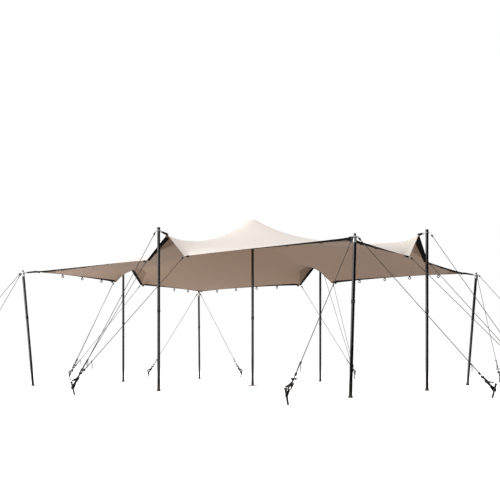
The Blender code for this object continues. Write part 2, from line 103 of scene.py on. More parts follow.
class Sketch:
    """A material in the making, on one Principled shader."""

    def __init__(self, name: str, colour: Sequence[float], roughness: float, metallic: float = 0.0) -> None:
        """Start a material.

        Args:
            name: The material's name.
            colour: Its linear base colour.
            roughness: Its roughness.
            metallic: 1 for a bare metal.
        """
        self.material = bpy.data.materials.new(name)
        self.material.use_nodes = True
        self.tree = self.material.node_tree
        self.shader = self.tree.nodes["Principled BSDF"]
        self.shader.inputs["Base Color"].default_value = (*colour, 1.0)
        self.shader.inputs["Roughness"].default_value = roughness
        self.shader.inputs["Metallic"].default_value = metallic

    def node(self, kind: str, values: dict[str, object] | None = None, **settings: object) -> bpy.types.Node:
        """Add a node.

        Args:
            kind: Its type, without the ShaderNode prefix.
            values: Values or links of its inputs, by name.
            settings: Its own settings.

        Returns:
            The node.
        """
        made = self.tree.nodes.new("ShaderNode" + kind)
        for name, setting in settings.items():
            setattr(made, name, setting)
        for name, value in (values or {}).items():
            self.feed(made.inputs[name], value)
        return made

    def feed(self, socket: bpy.types.NodeSocket, value: object) -> None:
        """Set an input's value, or link it to an output."""
        if isinstance(value, bpy.types.NodeSocket):
            self.tree.links.new(value, socket)
        else:
            socket.default_value = value

    def coords(self, space: Space, scale: Sequence[float] = (1.0, 1.0, 1.0)) -> bpy.types.NodeSocket:
        """Coordinates of a pattern.

        Args:
            space: Where they come from.
            scale: How much finer the pattern is along each axis.

        Returns:
            The output that carries them.
        """
        source = self.node("TexCoord").outputs[space.value]
        return self.node("Mapping", {"Vector": source, "Scale": scale}).outputs["Vector"]

    def noise(self, vector: bpy.types.NodeSocket, scale: float, detail: float = 3.0) -> bpy.types.NodeSocket:
        """Soft noise from 0 to 1."""
        made = self.node("TexNoise", {"Vector": vector, "Scale": scale, "Detail": detail})
        return made.outputs["Fac"]

    def wave(self, vector: bpy.types.NodeSocket, scale: float, axis: str, distortion: float = 0.0) -> bpy.types.NodeSocket:
        """A sine along one axis, from 0 to 1."""
        values = {"Vector": vector, "Scale": scale, "Distortion": distortion}
        return self.node("TexWave", values, bands_direction=axis).outputs["Fac"]

    def math(self, operation: str, *values: object) -> bpy.types.NodeSocket:
        """Arithmetic on one to three values."""
        made = self.node("Math", operation=operation)
        for socket, value in zip(made.inputs, values):
            self.feed(socket, value)
        return made.outputs[0]

    def steps(self, factor: bpy.types.NodeSocket, stops: Sequence[tuple[float, Sequence[float]]]) -> bpy.types.NodeSocket:
        """Turn a factor into a colour.

        Args:
            factor: The output that drives it.
            stops: Positions and linear colours.

        Returns:
            The colour output.
        """
        made = self.node("ValToRGB", {"Fac": factor})
        elements = made.color_ramp.elements
        while len(elements) < len(stops):
            elements.new(1.0)
        for element, (position, colour) in zip(elements, stops):
            element.position = position
            element.color = (*colour, 1.0)
        return made.outputs["Color"]

    def blend(self, factor: object, first: object, second: object, mode: str = "MIX") -> bpy.types.NodeSocket:
        """Mix two colours."""
        made = self.node("Mix", data_type="RGBA", blend_type=mode)
        for index, value in ((0, factor), (6, first), (7, second)):
            self.feed(made.inputs[index], value)
        return made.outputs[2]

    def span(self, factor: bpy.types.NodeSocket, low: float, high: float) -> bpy.types.NodeSocket:
        """Stretch a factor from 0..1 to low..high."""
        return self.node("MapRange", {"Value": factor, "To Min": low, "To Max": high}).outputs["Result"]

    def bump(self, heights: Sequence[tuple[bpy.types.NodeSocket, float]]) -> None:
        """Raise the surface by several patterns.

        Args:
            heights: Each pattern and its height in metres.
        """
        normal = None
        for height, distance in heights:
            made = self.node("Bump", {"Height": height, "Distance": distance, "Strength": 1.0})
            if normal is not None:
                self.feed(made.inputs["Normal"], normal)
            normal = made.outputs["Normal"]
        self.feed(self.shader.inputs["Normal"], normal)

    def set(self, **values: object) -> None:
        """Set or link inputs of the shader, with spaces as underscores."""
        for name, value in values.items():
            self.feed(self.shader.inputs[name.replace("_", " ")], value)


class Finish:
    """A finish whose material is made once."""

    name: str

    def material(self) -> bpy.types.Material:
        """The finish's material."""
        return bpy.data.materials.get(self.name) or self.draw()

    def draw(self) -> bpy.types.Material:
        """Make the material."""
        raise NotImplementedError


@dataclass(frozen=True)
class StretchFabric(Finish):
    """Coated stretch knit, with a sewn line inside the hem and painted light on the strip outside it."""

    name: str
    colour: tuple[float, float, float]
    shade: tuple[float, float, float]
    # Colour of the strip outside the seam: painted light along the hem.
    painted_light_strip: tuple[float, float, float]
    roughness: float = 0.82
    sheen: float = 0.15
    cell: float = 0.004
    seam_x: float = 4.22
    seam_y: float = 3.11
    seam_width: float = 0.005

    def draw(self) -> bpy.types.Material:
        """A fine knit with soft broad changes of tone."""
        sketch = Sketch(self.name, self.colour, self.roughness)
        cloth = sketch.coords(Space.SURFACE)
        broad = sketch.noise(cloth, 0.55, 2.0)
        fine = sketch.noise(cloth, 4.0, 3.0)
        tone = sketch.steps(broad, ((0.30, self.shade), (0.70, self.colour)))
        lighter = tuple(min(1.0, value * 1.04) for value in self.colour)
        toned = sketch.blend(sketch.span(fine, 0.0, 0.35), tone, (*lighter, 1.0))
        # Painted light: the strip outside the seam gets a paler colour that stands in for light reaching the cloth
        # near its edge.
        seam, painted_light_strip = self.hem_strip(sketch, cloth)
        paler = sketch.blend(painted_light_strip, toned, (*self.painted_light_strip, 1.0))
        darker = tuple(value * 0.62 for value in self.colour)
        sketch.set(Base_Color=sketch.blend(seam, paler, (*darker, 1.0)), Sheen_Weight=self.sheen)
        sketch.set(Sheen_Roughness=0.3, Roughness=sketch.span(fine, self.roughness - 0.05, self.roughness + 0.05))
        turns = 2.0 * math.pi / (20.0 * self.cell)
        across = sketch.wave(cloth, turns, "X")
        along = sketch.wave(cloth, turns, "Y")
        knit = sketch.math("MULTIPLY", across, along)
        sketch.bump(((fine, 0.0010), (knit, 0.0002), (seam, -0.0006)))
        return sketch.material

    def hem_strip(
        self, sketch: Sketch, cloth: bpy.types.NodeSocket
    ) -> tuple[bpy.types.NodeSocket, bpy.types.NodeSocket]:
        """Patterns of the line that is sewn round the canopy inside its hem, and of the strip outside it, which takes
        a paler colour as painted light.
        """
        parts = sketch.node("SeparateXYZ", {"Vector": cloth}).outputs
        lines, strips = [], []
        for axis, place in (("X", self.seam_x), ("Y", self.seam_y)):
            out = sketch.math("ABSOLUTE", parts[axis])
            lines.append(sketch.math("COMPARE", out, place, self.seam_width))
            strips.append(sketch.math("GREATER_THAN", out, place))
        return sketch.math("MAXIMUM", *lines), sketch.math("MAXIMUM", *strips)


@dataclass(frozen=True)
class Webbing(Finish):
    """Woven tape with ribs across it and rows of stitches near its edges."""

    name: str = "black_webbing"
    colour: tuple[float, float, float] = (0.006, 0.0055, 0.0055)
    thread: tuple[float, float, float] = (0.030, 0.029, 0.028)
    width: float = 0.09
    rib: float = 0.0035
    roughness: float = 0.75

    def draw(self) -> bpy.types.Material:
        """Ribs along the tape, and stitches by the distance from its middle."""
        sketch = Sketch(self.name, self.colour, self.roughness)
        tape = sketch.coords(Space.SURFACE)
        parts = sketch.node("SeparateXYZ", {"Vector": tape})
        rib = sketch.wave(tape, 2.0 * math.pi / (20.0 * self.rib), "X")
        grain = sketch.noise(tape, 260.0, 3.0)
        off_middle = sketch.math("ABSOLUTE", sketch.math("SUBTRACT", parts.outputs["Y"], self.width / 2.0))
        seam = sketch.math("SUBTRACT", off_middle, self.width * 0.38)
        on_seam = sketch.math("LESS_THAN", sketch.math("ABSOLUTE", seam), 0.0014)
        dash = sketch.math("GREATER_THAN", sketch.wave(tape, 2.0 * math.pi / (20.0 * 0.008), "X"), 0.35)
        stitch = sketch.math("MULTIPLY", on_seam, dash)
        worn = sketch.steps(grain, ((0.35, self.colour), (0.75, tuple(value * 2.2 for value in self.colour))))
        sketch.set(Base_Color=sketch.blend(stitch, worn, (*self.thread, 1.0)), Specular_IOR_Level=0.25)
        sketch.bump(((rib, 0.0005), (stitch, 0.0005), (grain, 0.0002)))
        return sketch.material


@dataclass(frozen=True)
class CoatedMetal(Finish):
    """Satin coated metal, with a little dust and fine scratches."""

    name: str
    colour: tuple[float, float, float]
    roughness: float
    metallic: float = 0.0
    scratch: tuple[float, float, float] = (0.05, 0.05, 0.052)
    amount: float = 0.25
    dust: float = 0.0
    specular: float = 0.5
    coat: float = 0.0

    def draw(self) -> bpy.types.Material:
        """Long faint scratches, uneven gloss, and dust close to the ground."""
        sketch = Sketch(self.name, self.colour, self.roughness, self.metallic)
        plain = sketch.coords(Space.OBJECT)
        drawn = sketch.coords(Space.OBJECT, (60.0, 60.0, 2.5))
        lines = sketch.noise(drawn, 6.0, 4.0)
        clouds = sketch.noise(plain, 14.0, 3.0)
        marks = sketch.steps(lines, ((0.62, (0.0, 0.0, 0.0)), (0.74, (self.amount,) * 3)))
        colour = sketch.blend(marks, (*self.colour, 1.0), (*self.scratch, 1.0))
        if self.dust:
            height = sketch.node("SeparateXYZ", {"Vector": plain}).outputs["Z"]
            low = sketch.node("MapRange", {"Value": height, "From Max": 0.35, "To Min": self.dust, "To Max": 0.0})
            settled = sketch.math("MULTIPLY", low.outputs["Result"], clouds)
            colour = sketch.blend(settled, colour, (0.22, 0.20, 0.17, 1.0))
        sketch.set(Base_Color=colour, Roughness=sketch.span(clouds, self.roughness - 0.06, self.roughness + 0.10))
        sketch.set(Specular_IOR_Level=self.specular, Coat_Weight=self.coat, Coat_Roughness=0.15)
        sketch.bump(((lines, 0.00003), (clouds, 0.00008)))
        return sketch.material


@dataclass(frozen=True)
class PlatedSteel(Finish):
    """Zinc plated steel with a clouded gloss."""

    name: str = "plated_steel"
    colour: tuple[float, float, float] = (0.80, 0.80, 0.79)
    roughness: float = 0.42

    def draw(self) -> bpy.types.Material:
        """Clouds in colour and gloss over a fine grain."""
        sketch = Sketch(self.name, self.colour, self.roughness, 0.75)
        plain = sketch.coords(Space.OBJECT)
        clouds = sketch.noise(plain, 30.0, 4.0)
        grain = sketch.noise(plain, 700.0, 2.0)
        darker = tuple(value * 0.72 for value in self.colour)
        sketch.set(Base_Color=sketch.steps(clouds, ((0.35, darker), (0.65, self.colour))))
        sketch.set(Roughness=sketch.span(clouds, self.roughness - 0.08, self.roughness + 0.12))
        sketch.bump(((grain, 0.00005),))
        return sketch.material


@dataclass(frozen=True)
class BraidedRope(Finish):
    """Braided cord, its strands crossing along the surface map."""

    name: str = "braided_rope"
    colour: tuple[float, float, float] = (0.040, 0.039, 0.040)
    fleck: tuple[float, float, float] = (0.16, 0.155, 0.15)
    strands: float = 8.0
    pitch: float = 0.012
    roughness: float = 0.8

    def draw(self) -> bpy.types.Material:
        """Two slanted sets of ridges that make the braid's diamonds."""
        sketch = Sketch(self.name, self.colour, self.roughness)
        turns = 2.0 * math.pi / 20.0
        scaled = sketch.coords(Space.SURFACE, (self.strands, 1.0 / self.pitch, 1.0))
        parts = sketch.node("SeparateXYZ", {"Vector": scaled})
        ridges = []
        for operation in ("ADD", "SUBTRACT"):
            slant = sketch.math(operation, parts.outputs["X"], parts.outputs["Y"])
            line = sketch.node("CombineXYZ", {"X": slant}).outputs["Vector"]
            ridges.append(sketch.wave(line, turns, "X"))
        braid = sketch.math("MULTIPLY", ridges[0], ridges[1])
        colour = sketch.steps(braid, ((0.25, self.colour), (0.85, self.fleck)))
        sketch.set(Base_Color=colour, Sheen_Weight=0.2)
        sketch.bump(((braid, 0.0012),))
        return sketch.material


@dataclass(frozen=True)
class StudioWhite(Finish):
    """The plain pale floor, which lights the tent from below."""

    name: str = "studio_floor"
    tone: float = 0.85
    glow: float = 0.26
    seen_glow: float = 0.95
    mirrored: float = 0.04

    def draw(self) -> bpy.types.Material:
        """A matt white that glows when it is seen, so that shadows on it stay faint."""
        sketch = Sketch(self.name, (self.tone,) * 3, 1.0)
        rays = sketch.node("LightPath").outputs
        glow = sketch.span(rays["Is Camera Ray"], self.glow, self.seen_glow)
        dimmed = sketch.span(rays["Is Glossy Ray"], 1.0, self.mirrored)
        tone = sketch.node("CombineColor", {band: sketch.math("MULTIPLY", dimmed, self.tone) for band in
                                            ("Red", "Green", "Blue")})
        sketch.set(Base_Color=tone.outputs["Color"], Specular_IOR_Level=0.0)
        sketch.set(Emission_Color=(1.0, 1.0, 1.0, 1.0), Emission_Strength=sketch.math("MULTIPLY", glow, dimmed))
        return sketch.material


CREAM = StretchFabric("cream_outside", (0.86, 0.79, 0.725), (0.82, 0.735, 0.665), (0.86, 0.79, 0.72))
# Painted shade: the inside is the cream cloth's underside, darkened to stand in for the shade under the canopy.
TAUPE_PAINTED_SHADE = StretchFabric("taupe_inside_painted_shade", (0.350, 0.240, 0.172), (0.325, 0.222, 0.158), (0.38, 0.285, 0.215), sheen=0.08)
# Painted shade: the doubled patches take a still darker taupe that stands in for the deeper shade inside the gable
# tips and corners.
PATCH_PAINTED_SHADE = StretchFabric("taupe_doubled_painted_shade", (0.235, 0.155, 0.108), (0.215, 0.142, 0.098), (0.22, 0.147, 0.103), sheen=0.06)
WEBBING = Webbing()
TAPE = Webbing("narrow_webbing", width=0.034)
TUBE = CoatedMetal("black_tube", (0.003, 0.0025, 0.0025), 0.20, amount=0.1, dust=0.2, specular=0.5, coat=0.3)
PLASTIC = CoatedMetal("black_plastic", (0.014, 0.014, 0.015), 0.45, amount=0.1)
RUBBER = CoatedMetal("black_rubber", (0.016, 0.016, 0.016), 0.8, amount=0.1, dust=0.5)
FORGED = CoatedMetal("black_forged_steel", (0.014, 0.014, 0.015), 0.48, scratch=(0.30, 0.29, 0.28), amount=0.6, dust=0.3)
STEEL = PlatedSteel()
ROPE = BraidedRope()
FLOOR = StudioWhite()


# Building of meshes


def aim(direction: Vector) -> Matrix:
    """The rotation that turns +Z to a direction and keeps +X level."""
    up = direction.normalized()
    level = Vector((-up.y, up.x, 0.0))
    across = level.normalized() if level.length > 1e-6 else Vector((1.0, 0.0, 0.0))
    return Matrix((across, up.cross(across), up)).transposed().to_4x4()


def placed(origin: Vector, direction: Vector) -> Matrix:
    """A frame at a point, its +Z along a direction."""
    return Matrix.Translation(origin) @ aim(direction)


def round_section(radius: float, sides: int) -> list[tuple[float, float]]:
    """A circle as a closed section, its first point repeated at its end."""
    turns = [2.0 * math.pi * k / sides for k in range(sides + 1)]
    return [(radius * math.cos(turn), radius * math.sin(turn)) for turn in turns]


def flat_section(width: float, thickness: float) -> list[tuple[float, float]]:
    """A tape's section with eased edges, its first point repeated at its end."""
    half, deep = width / 2.0, thickness / 2.0
    ease = deep * 0.8
    points = [
        (-half, 0.0),
        (-half + ease, -deep),
        (half - ease, -deep),
        (half, 0.0),
        (half - ease, deep),
        (-half + ease, deep),
    ]
    return points + points[:1]


class Form:
    """A mesh in the making, with surface maps in metres and a finish on each face."""

    def __init__(self) -> None:
        """Start an empty mesh."""
        self.shape = bmesh.new()
        self.shape.loops.layers.uv.new("UVMap")
        self.finishes: list[Finish] = []

    def number(self, finish: Finish) -> int:
        """The place of a finish among the piece's materials."""
        if finish not in self.finishes:
            self.finishes.append(finish)
        return self.finishes.index(finish)

    def take(self, part: bmesh.types.BMesh, finish: Finish, place: Matrix | None = None) -> None:
        """Add a finished part.

        Args:
            part: The part's mesh, which is freed.
            finish: What its faces are made of.
            place: Where it goes.
        """
        if place is not None:
            bmesh.ops.transform(part, matrix=place, verts=part.verts)
        index = self.number(finish)
        for face in part.faces:
            face.material_index = index
        carrier = bpy.data.meshes.new("carrier")
        part.to_mesh(carrier)
        part.free()
        self.shape.from_mesh(carrier)
        bpy.data.meshes.remove(carrier)

    def copy_of(self, other: Form, place: Matrix) -> None:
        """Add a copy of another form at a place."""
        carrier = bpy.data.meshes.new("carrier")
        part = other.shape.copy()
        bmesh.ops.transform(part, matrix=place, verts=part.verts)
        index = [self.number(finish) for finish in other.finishes]
        for face in part.faces:
            face.material_index = index[face.material_index]
        part.to_mesh(carrier)
        part.free()
        self.shape.from_mesh(carrier)
        bpy.data.meshes.remove(carrier)

    def skin(
        self,
        columns: int,
        rows: int,
        spot: Callable[[int, int], Vector],
        chart: Callable[[int, int], tuple[float, float]],
        finish: Finish,
        place: Matrix | None = None,
        closed: bool = True,
        sealed: bool = True,
    ) -> None:
        """Lay a grid over a surface.

        Args:
            columns: Cells across.
            rows: Cells along.
            spot: The place of each grid point.
            chart: The surface map at each grid point, in metres.
            finish: What it is made of.
            place: Where it goes.
            closed: Whether seams that meet are joined and faces turned outwards.
            sealed: Whether open ends are filled.
        """
        part = bmesh.new()
        bmesh.ops.create_grid(part, x_segments=columns, y_segments=rows, size=1.0)
        uv = part.loops.layers.uv.verify()
        index = {}
        for vertex in part.verts:
            i = round((vertex.co.x + 1.0) / 2.0 * columns)
            j = round((vertex.co.y + 1.0) / 2.0 * rows)
            index[vertex] = (i, j)
            vertex.co = spot(i, j)
        for face in part.faces:
            for loop in face.loops:
                loop[uv].uv = chart(*index[loop.vert])
        if closed:
            bmesh.ops.remove_doubles(part, verts=part.verts, dist=1e-6)
            bmesh.ops.dissolve_degenerate(part, dist=1e-7, edges=part.edges)
            if sealed:
                bmesh.ops.holes_fill(part, edges=[edge for edge in part.edges if edge.is_boundary], sides=0)
            bmesh.ops.recalc_face_normals(part, faces=part.faces)
        self.take(part, finish, place)

    def turned(self, profile: Sequence[tuple[float, float]], finish: Finish, place: Matrix | None = None, sides: int = 36) -> None:
        """Turn an outline about +Z.

        Args:
            profile: Radius and height of each point.
            finish: What it is made of.
            place: Where it goes.
            sides: Faces around.
        """
        lengths = np.concatenate(([0.0], np.cumsum(np.linalg.norm(np.diff(np.array(profile), axis=0), axis=1))))

        def spot(i: int, j: int) -> Vector:
            turn = 2.0 * math.pi * (i % sides) / sides
            radius, height = profile[j]
            return Vector((radius * math.cos(turn), radius * math.sin(turn), height))

        self.skin(sides, len(profile) - 1, spot, lambda i, j: (i / sides, float(lengths[j])), finish, place)

    def swept(
        self,
        section: Sequence[tuple[float, float]],
        path: Sequence[Vector],
        finish: Finish,
        place: Matrix | None = None,
        level: Vector = UP,
        loop: bool = False,
    ) -> None:
        """Carry a closed section along a path.

        Args:
            section: Points across and up, the first repeated at the end.
            path: The points that it follows.
            finish: What it is made of.
            place: Where it goes.
            level: The direction that the section's second axis keeps closest to.
            loop: Whether the path returns to its start.
        """
        points = list(path) + ([path[0]] if loop else [])
        last = len(points) - 1
        steps = [(points[k + 1] - points[k]).length for k in range(last)]
        lengths = [sum(steps[:k]) for k in range(last + 1)]
        frames = []
        for k, point in enumerate(points):
            before = points[k - 1] if k else (points[-2] if loop else point)
            after = points[k + 1] if k < last else (points[1] if loop else point)
            along = (after - before).normalized()
            across = along.cross(level)
            if across.length < 1e-5:
                across = along.orthogonal()
            across.normalize()
            frames.append((across, across.cross(along)))
        sides = len(section) - 1
        around = np.linalg.norm(np.diff(np.array(section), axis=0), axis=1)
        if section[0][0] < 0.0:
            chart_x = [x - section[0][0] for x, _ in section]
        else:
            chart_x = [k / sides for k in range(sides + 1)]
        LOG.debug("sweep of %d points, %.4f m around", last + 1, float(around.sum()))

        def spot(i: int, j: int) -> Vector:
            across, up = frames[j]
            x, y = section[i % sides]
            return points[j] + across * x + up * y

        def chart(i: int, j: int) -> tuple[float, float]:
            if section[0][0] < 0.0:
                return lengths[j], chart_x[i]
            return chart_x[i], lengths[j]

        self.skin(sides, last, spot, chart, finish, place, sealed=not loop)

    def ring(self, radius: float, wire: float, finish: Finish, place: Matrix | None = None, sides: int = 28, stretch: float = 1.0) -> None:
        """Bend a round wire into a ring in the XY plane.

        Args:
            radius: Of the wire's middle.
            wire: Radius of the wire.
            finish: What it is made of.
            place: Where it goes.
            sides: Steps around the ring.
            stretch: How much longer the ring is along X.
        """
        turns = [2.0 * math.pi * k / sides for k in range(sides)]
        path = [Vector((radius * stretch * math.cos(turn), radius * math.sin(turn), 0.0)) for turn in turns]
        self.swept(round_section(wire, 10), path, finish, place, loop=True)

    def block(self, size: Sequence[float], finish: Finish, place: Matrix | None = None, ease: float = 0.001) -> None:
        """A box with rounded edges about its own middle."""
        part = bmesh.new()
        part.loops.layers.uv.verify()
        bmesh.ops.create_cube(part, size=1.0, calc_uvs=True)
        bmesh.ops.scale(part, vec=size, verts=part.verts)
        bmesh.ops.bevel(
            part, geom=part.edges[:], offset=ease, affect="EDGES", segments=2, profile=0.5, material=-1
        )
        self.take(part, finish, place)

    def plate(self, outline: Sequence[tuple[float, float]], thickness: float, finish: Finish, place: Matrix | None = None, ease: float = 0.0008) -> None:
        """A plate cut to an outline in its XY plane, thick along Z about its middle."""
        part = bmesh.new()
        part.loops.layers.uv.verify()
        corners = [part.verts.new((x, y, -thickness / 2.0)) for x, y in outline]
        face = part.faces.new(corners)
        raised = bmesh.ops.extrude_face_region(part, geom=[face])
        verts = [item for item in raised["geom"] if isinstance(item, bmesh.types.BMVert)]
        bmesh.ops.translate(part, vec=(0.0, 0.0, thickness), verts=verts)
        bmesh.ops.recalc_face_normals(part, faces=part.faces)
        if ease:
            bmesh.ops.bevel(
                part, geom=part.edges[:], offset=ease, affect="EDGES", segments=1, profile=0.5, material=-1
            )
        self.take(part, finish, place)

    def finished(self, name: str, slot: Slot, replaced: Sequence[str] = (), crease: float = 0.6) -> bpy.types.Object:
        """Turn the form into a piece of the tent.

        Args:
            name: The piece's name.
            slot: The record's slot that it is painted from; not used.
            replaced: The solids that it stands for.
            crease: The angle in radians past which an edge stays sharp.

        Returns:
            The piece, at the origin.
        """
        mesh = bpy.data.meshes.new(name)
        self.shape.to_mesh(mesh)
        self.shape.free()
        mesh.shade_smooth()
        mesh.set_sharp_from_angle(angle=crease)
        for finish in self.finishes:
            mesh.materials.append(finish.material())
        piece = bpy.data.objects.new(name, mesh)
        bpy.context.scene.collection.objects.link(piece)
        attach(piece, "root")
        if replaced:
            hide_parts(*replaced)
        LOG.info("%s: %d faces", name, len(mesh.polygons))
        return piece


# Places of the solids


class Solids:
    """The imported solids, read for the places that pieces take."""

    def __init__(self, frame: dict) -> None:
        """Keep the frame's nodes and mounts."""
        self.nodes = frame["nodes"]
        self.mounts = {mount["name"]: Vector(mount["pos_m"]) for mount in frame["record"]["mounts"]}

    def points(self, node: str) -> np.ndarray:
        """The corners of a node's mesh."""
        mesh = self.nodes[node].data
        places = np.zeros(len(mesh.vertices) * 3, np.float32)
        mesh.vertices.foreach_get("co", places)
        return places.reshape(-1, 3).astype(float)

    @staticmethod
    def middle(points: np.ndarray) -> Vector:
        """The middle of the points' box."""
        return Vector((points.min(axis=0) + points.max(axis=0)) / 2.0)

    def top(self, node: str) -> Vector:
        """Middle of a node's highest face."""
        points = self.points(node)
        return self.middle(points[points[:, 2] > points[:, 2].max() - 0.004])

    def ground(self, node: str) -> Vector:
        """Middle of where a node meets the ground."""
        points = self.points(node)
        return self.middle(points[points[:, 2] < 0.001])

    def rope_ends(self, node: str) -> tuple[Vector, Vector]:
        """Upper and lower end of a straight rope."""
        points = self.points(node)
        half = (points[:, 2].min() + points[:, 2].max()) / 2.0
        return self.middle(points[points[:, 2] > half]), self.middle(points[points[:, 2] < half])

    def foot(self, name: str) -> Vector:
        """The foot of a corner or side pole."""
        kind = "corner" if name in CORNERS else "side"
        return self.mounts[f"{kind}_foot_{name}"]

    def head(self, name: str) -> Vector:
        """The top of a corner or side pole."""
        kind = "corner" if name in CORNERS else "side"
        return self.top(f"pole_{kind}_{name}")


# The canopy


@dataclass
class Net:
    """A net in tension between held points, which gives the canopy its form."""

    span_x: float
    span_y: float
    peak_height: float
    corner_inset: float = 0.06
    corner_height: float = 2.89
    tip_x: tuple[float, float, float] = (0.01, 3.41, 0.25)
    tip_y: tuple[float, float, float] = (0.07, 3.39, 0.0)
    gable_half_width: float = 0.54
    eave_inset: float = 0.01
    eave_height: float = 2.865
    dome_radius: float = 0.16
    dome_drop: float = 0.05
    hem_tension: float = 15.0
    gable_hem_tension: float = 4.0
    ridge_tension_x: float = 2.0
    ridge_tension_y: float = 0.95
    ridge_half_width: float = 0.10
    tongue_length: float = 0.30
    tongue_half_width: float = 0.16
    soft_reach: float = 0.22
    soft_rounds: int = 14
    hem_width: float = 0.09
    step: float = 0.06
    x_lines: np.ndarray = field(init=False)
    y_lines: np.ndarray = field(init=False)
    places: np.ndarray = field(init=False)
    normals: np.ndarray = field(init=False)

    def __post_init__(self) -> None:
        """Settle the net."""
        self.x_lines = self.lines(self.span_x / 2.0 - self.corner_inset)
        self.y_lines = self.lines(self.span_y / 2.0 - self.corner_inset)
        self.places = self.settle()
        self.normals = self.facing()

    def lines(self, reach: float) -> np.ndarray:
        """Lines of the net on both sides of the middle, closer at the dome, gable and hem."""
        hem = reach - self.hem_width
        marks = [0.0, self.dome_radius, self.gable_half_width, hem - 0.15, hem, reach]
        cells = [4, 8, round((marks[3] - marks[2]) / self.step), 3, 3]
        half = [0.0]
        for start, end, count in zip(marks, marks[1:], cells):
            half += [start + (end - start) * k / count for k in range(1, count + 1)]
        return np.array([-value for value in reversed(half[1:])] + half)

    def held(self) -> dict[tuple[int, int], tuple[float, float, float]]:
        """Points of the net that poles and guys hold, by column and row."""
        found = {}
        fall = self.dome_drop / self.dome_radius ** 2
        reach = self.dome_radius * 1.001
        for i, x in enumerate(self.x_lines):
            for j, y in enumerate(self.y_lines):
                if math.hypot(x, y) <= reach:
                    found[i, j] = (x, y, self.peak_height - fall * (x * x + y * y))
        for i, x in enumerate(self.x_lines):
            for j, y in enumerate(self.y_lines):
                in_x, in_y = self.x_lines[-1] - abs(x), self.y_lines[-1] - abs(y)
                if in_x == 0.0 and in_y == 0.0:
                    found[i, j] = (x, y, self.corner_height)
                elif abs(y) < self.gable_half_width * 1.001 and in_x < self.stiff_depth(abs(y)) * 1.001:
                    out, height = self.gable_edge(abs(y), in_x, self.tip_x)
                    found[i, j] = (math.copysign(self.span_x / 2.0 - out, x), y, height)
                elif abs(x) < self.gable_half_width * 1.001 and in_y < self.stiff_depth(abs(x)) * 1.001:
                    out, height = self.gable_edge(abs(x), in_y, self.tip_y)
                    found[i, j] = (x, math.copysign(self.span_y / 2.0 - out, y), height)
        return found

    def stiff_depth(self, off_middle: float) -> float:
        """How far in from a gable's edge the webbing and the doubled tip keep the cloth flat."""
        return self.hem_width + self.tongue_length * max(0.0, 1.0 - off_middle / self.tongue_half_width)

    def gable_edge(self, off_middle: float, inward: float, tip: tuple[float, float, float]) -> tuple[float, float]:
        """Where the stiff webbed edge of a gable lies.

        Args:
            off_middle: Distance from the gable's middle.
            inward: Distance in from the edge.
            tip: Inset and height of the gable's tip, and its slope inwards.

        Returns:
            How far inside the line of the corner poles' feet, and how high.
        """
        tip_inset, tip_height, fall = tip
        share = off_middle / self.gable_half_width
        inset = tip_inset + (self.eave_inset - tip_inset) * share
        height = tip_height + (self.eave_height - tip_height) * share
        return inset + inward, height - fall * (1.0 - share) * inward

    def soften(self, places: np.ndarray) -> np.ndarray:
        """Ease the crease where the stiff tip of each gable ends."""
        x, y = np.meshgrid(self.x_lines, self.y_lines, indexing="ij")
        near = np.zeros_like(x)
        for out, along, reach in ((np.abs(x), y, self.x_lines[-1]), (np.abs(y), x, self.y_lines[-1])):
            end = reach - self.hem_width - self.tongue_length
            near = np.maximum(near, np.exp(-((out - end) ** 2 + along ** 2) / self.soft_reach ** 2))
        share = near[1:-1, 1:-1, None]
        for _ in range(self.soft_rounds):
            across = places[:-2, 1:-1] + places[2:, 1:-1]
            along = places[1:-1, :-2] + places[1:-1, 2:]
            places[1:-1, 1:-1] += share * ((across + along) / 4.0 - places[1:-1, 1:-1])
        return places

    @staticmethod
    def widths(lines: np.ndarray) -> np.ndarray:
        """The width of cloth that each line stands for."""
        before = np.concatenate(([lines[0]], lines[:-1]))
        after = np.concatenate((lines[1:], [lines[-1]]))
        return (after - before) / 2.0

    def densities(self, along: np.ndarray, across: np.ndarray, ridge_tension: float) -> np.ndarray:
        """Force density of each stretch of the net's lines.

        Args:
            along: The net's stops along the lines.
            across: Where the lines lie.
            ridge_tension: Added to the lines nearest the middle.

        Returns:
            One row for each stretch and one column for each line.
        """
        middles = (along[1:] + along[:-1]) / 2.0
        widths = self.widths(across)
        pull = np.tile(widths, (len(middles), 1))
        near = np.abs(across) <= self.ridge_half_width
        pull[:, near] += ridge_tension * widths[near] / widths[near].sum()
        at_gable = np.abs(middles) < self.gable_half_width
        hem = np.where(at_gable, self.gable_hem_tension, self.hem_tension)
        pull[:, 0] += hem
        pull[:, -1] += hem
        return pull / np.diff(along)[:, None]

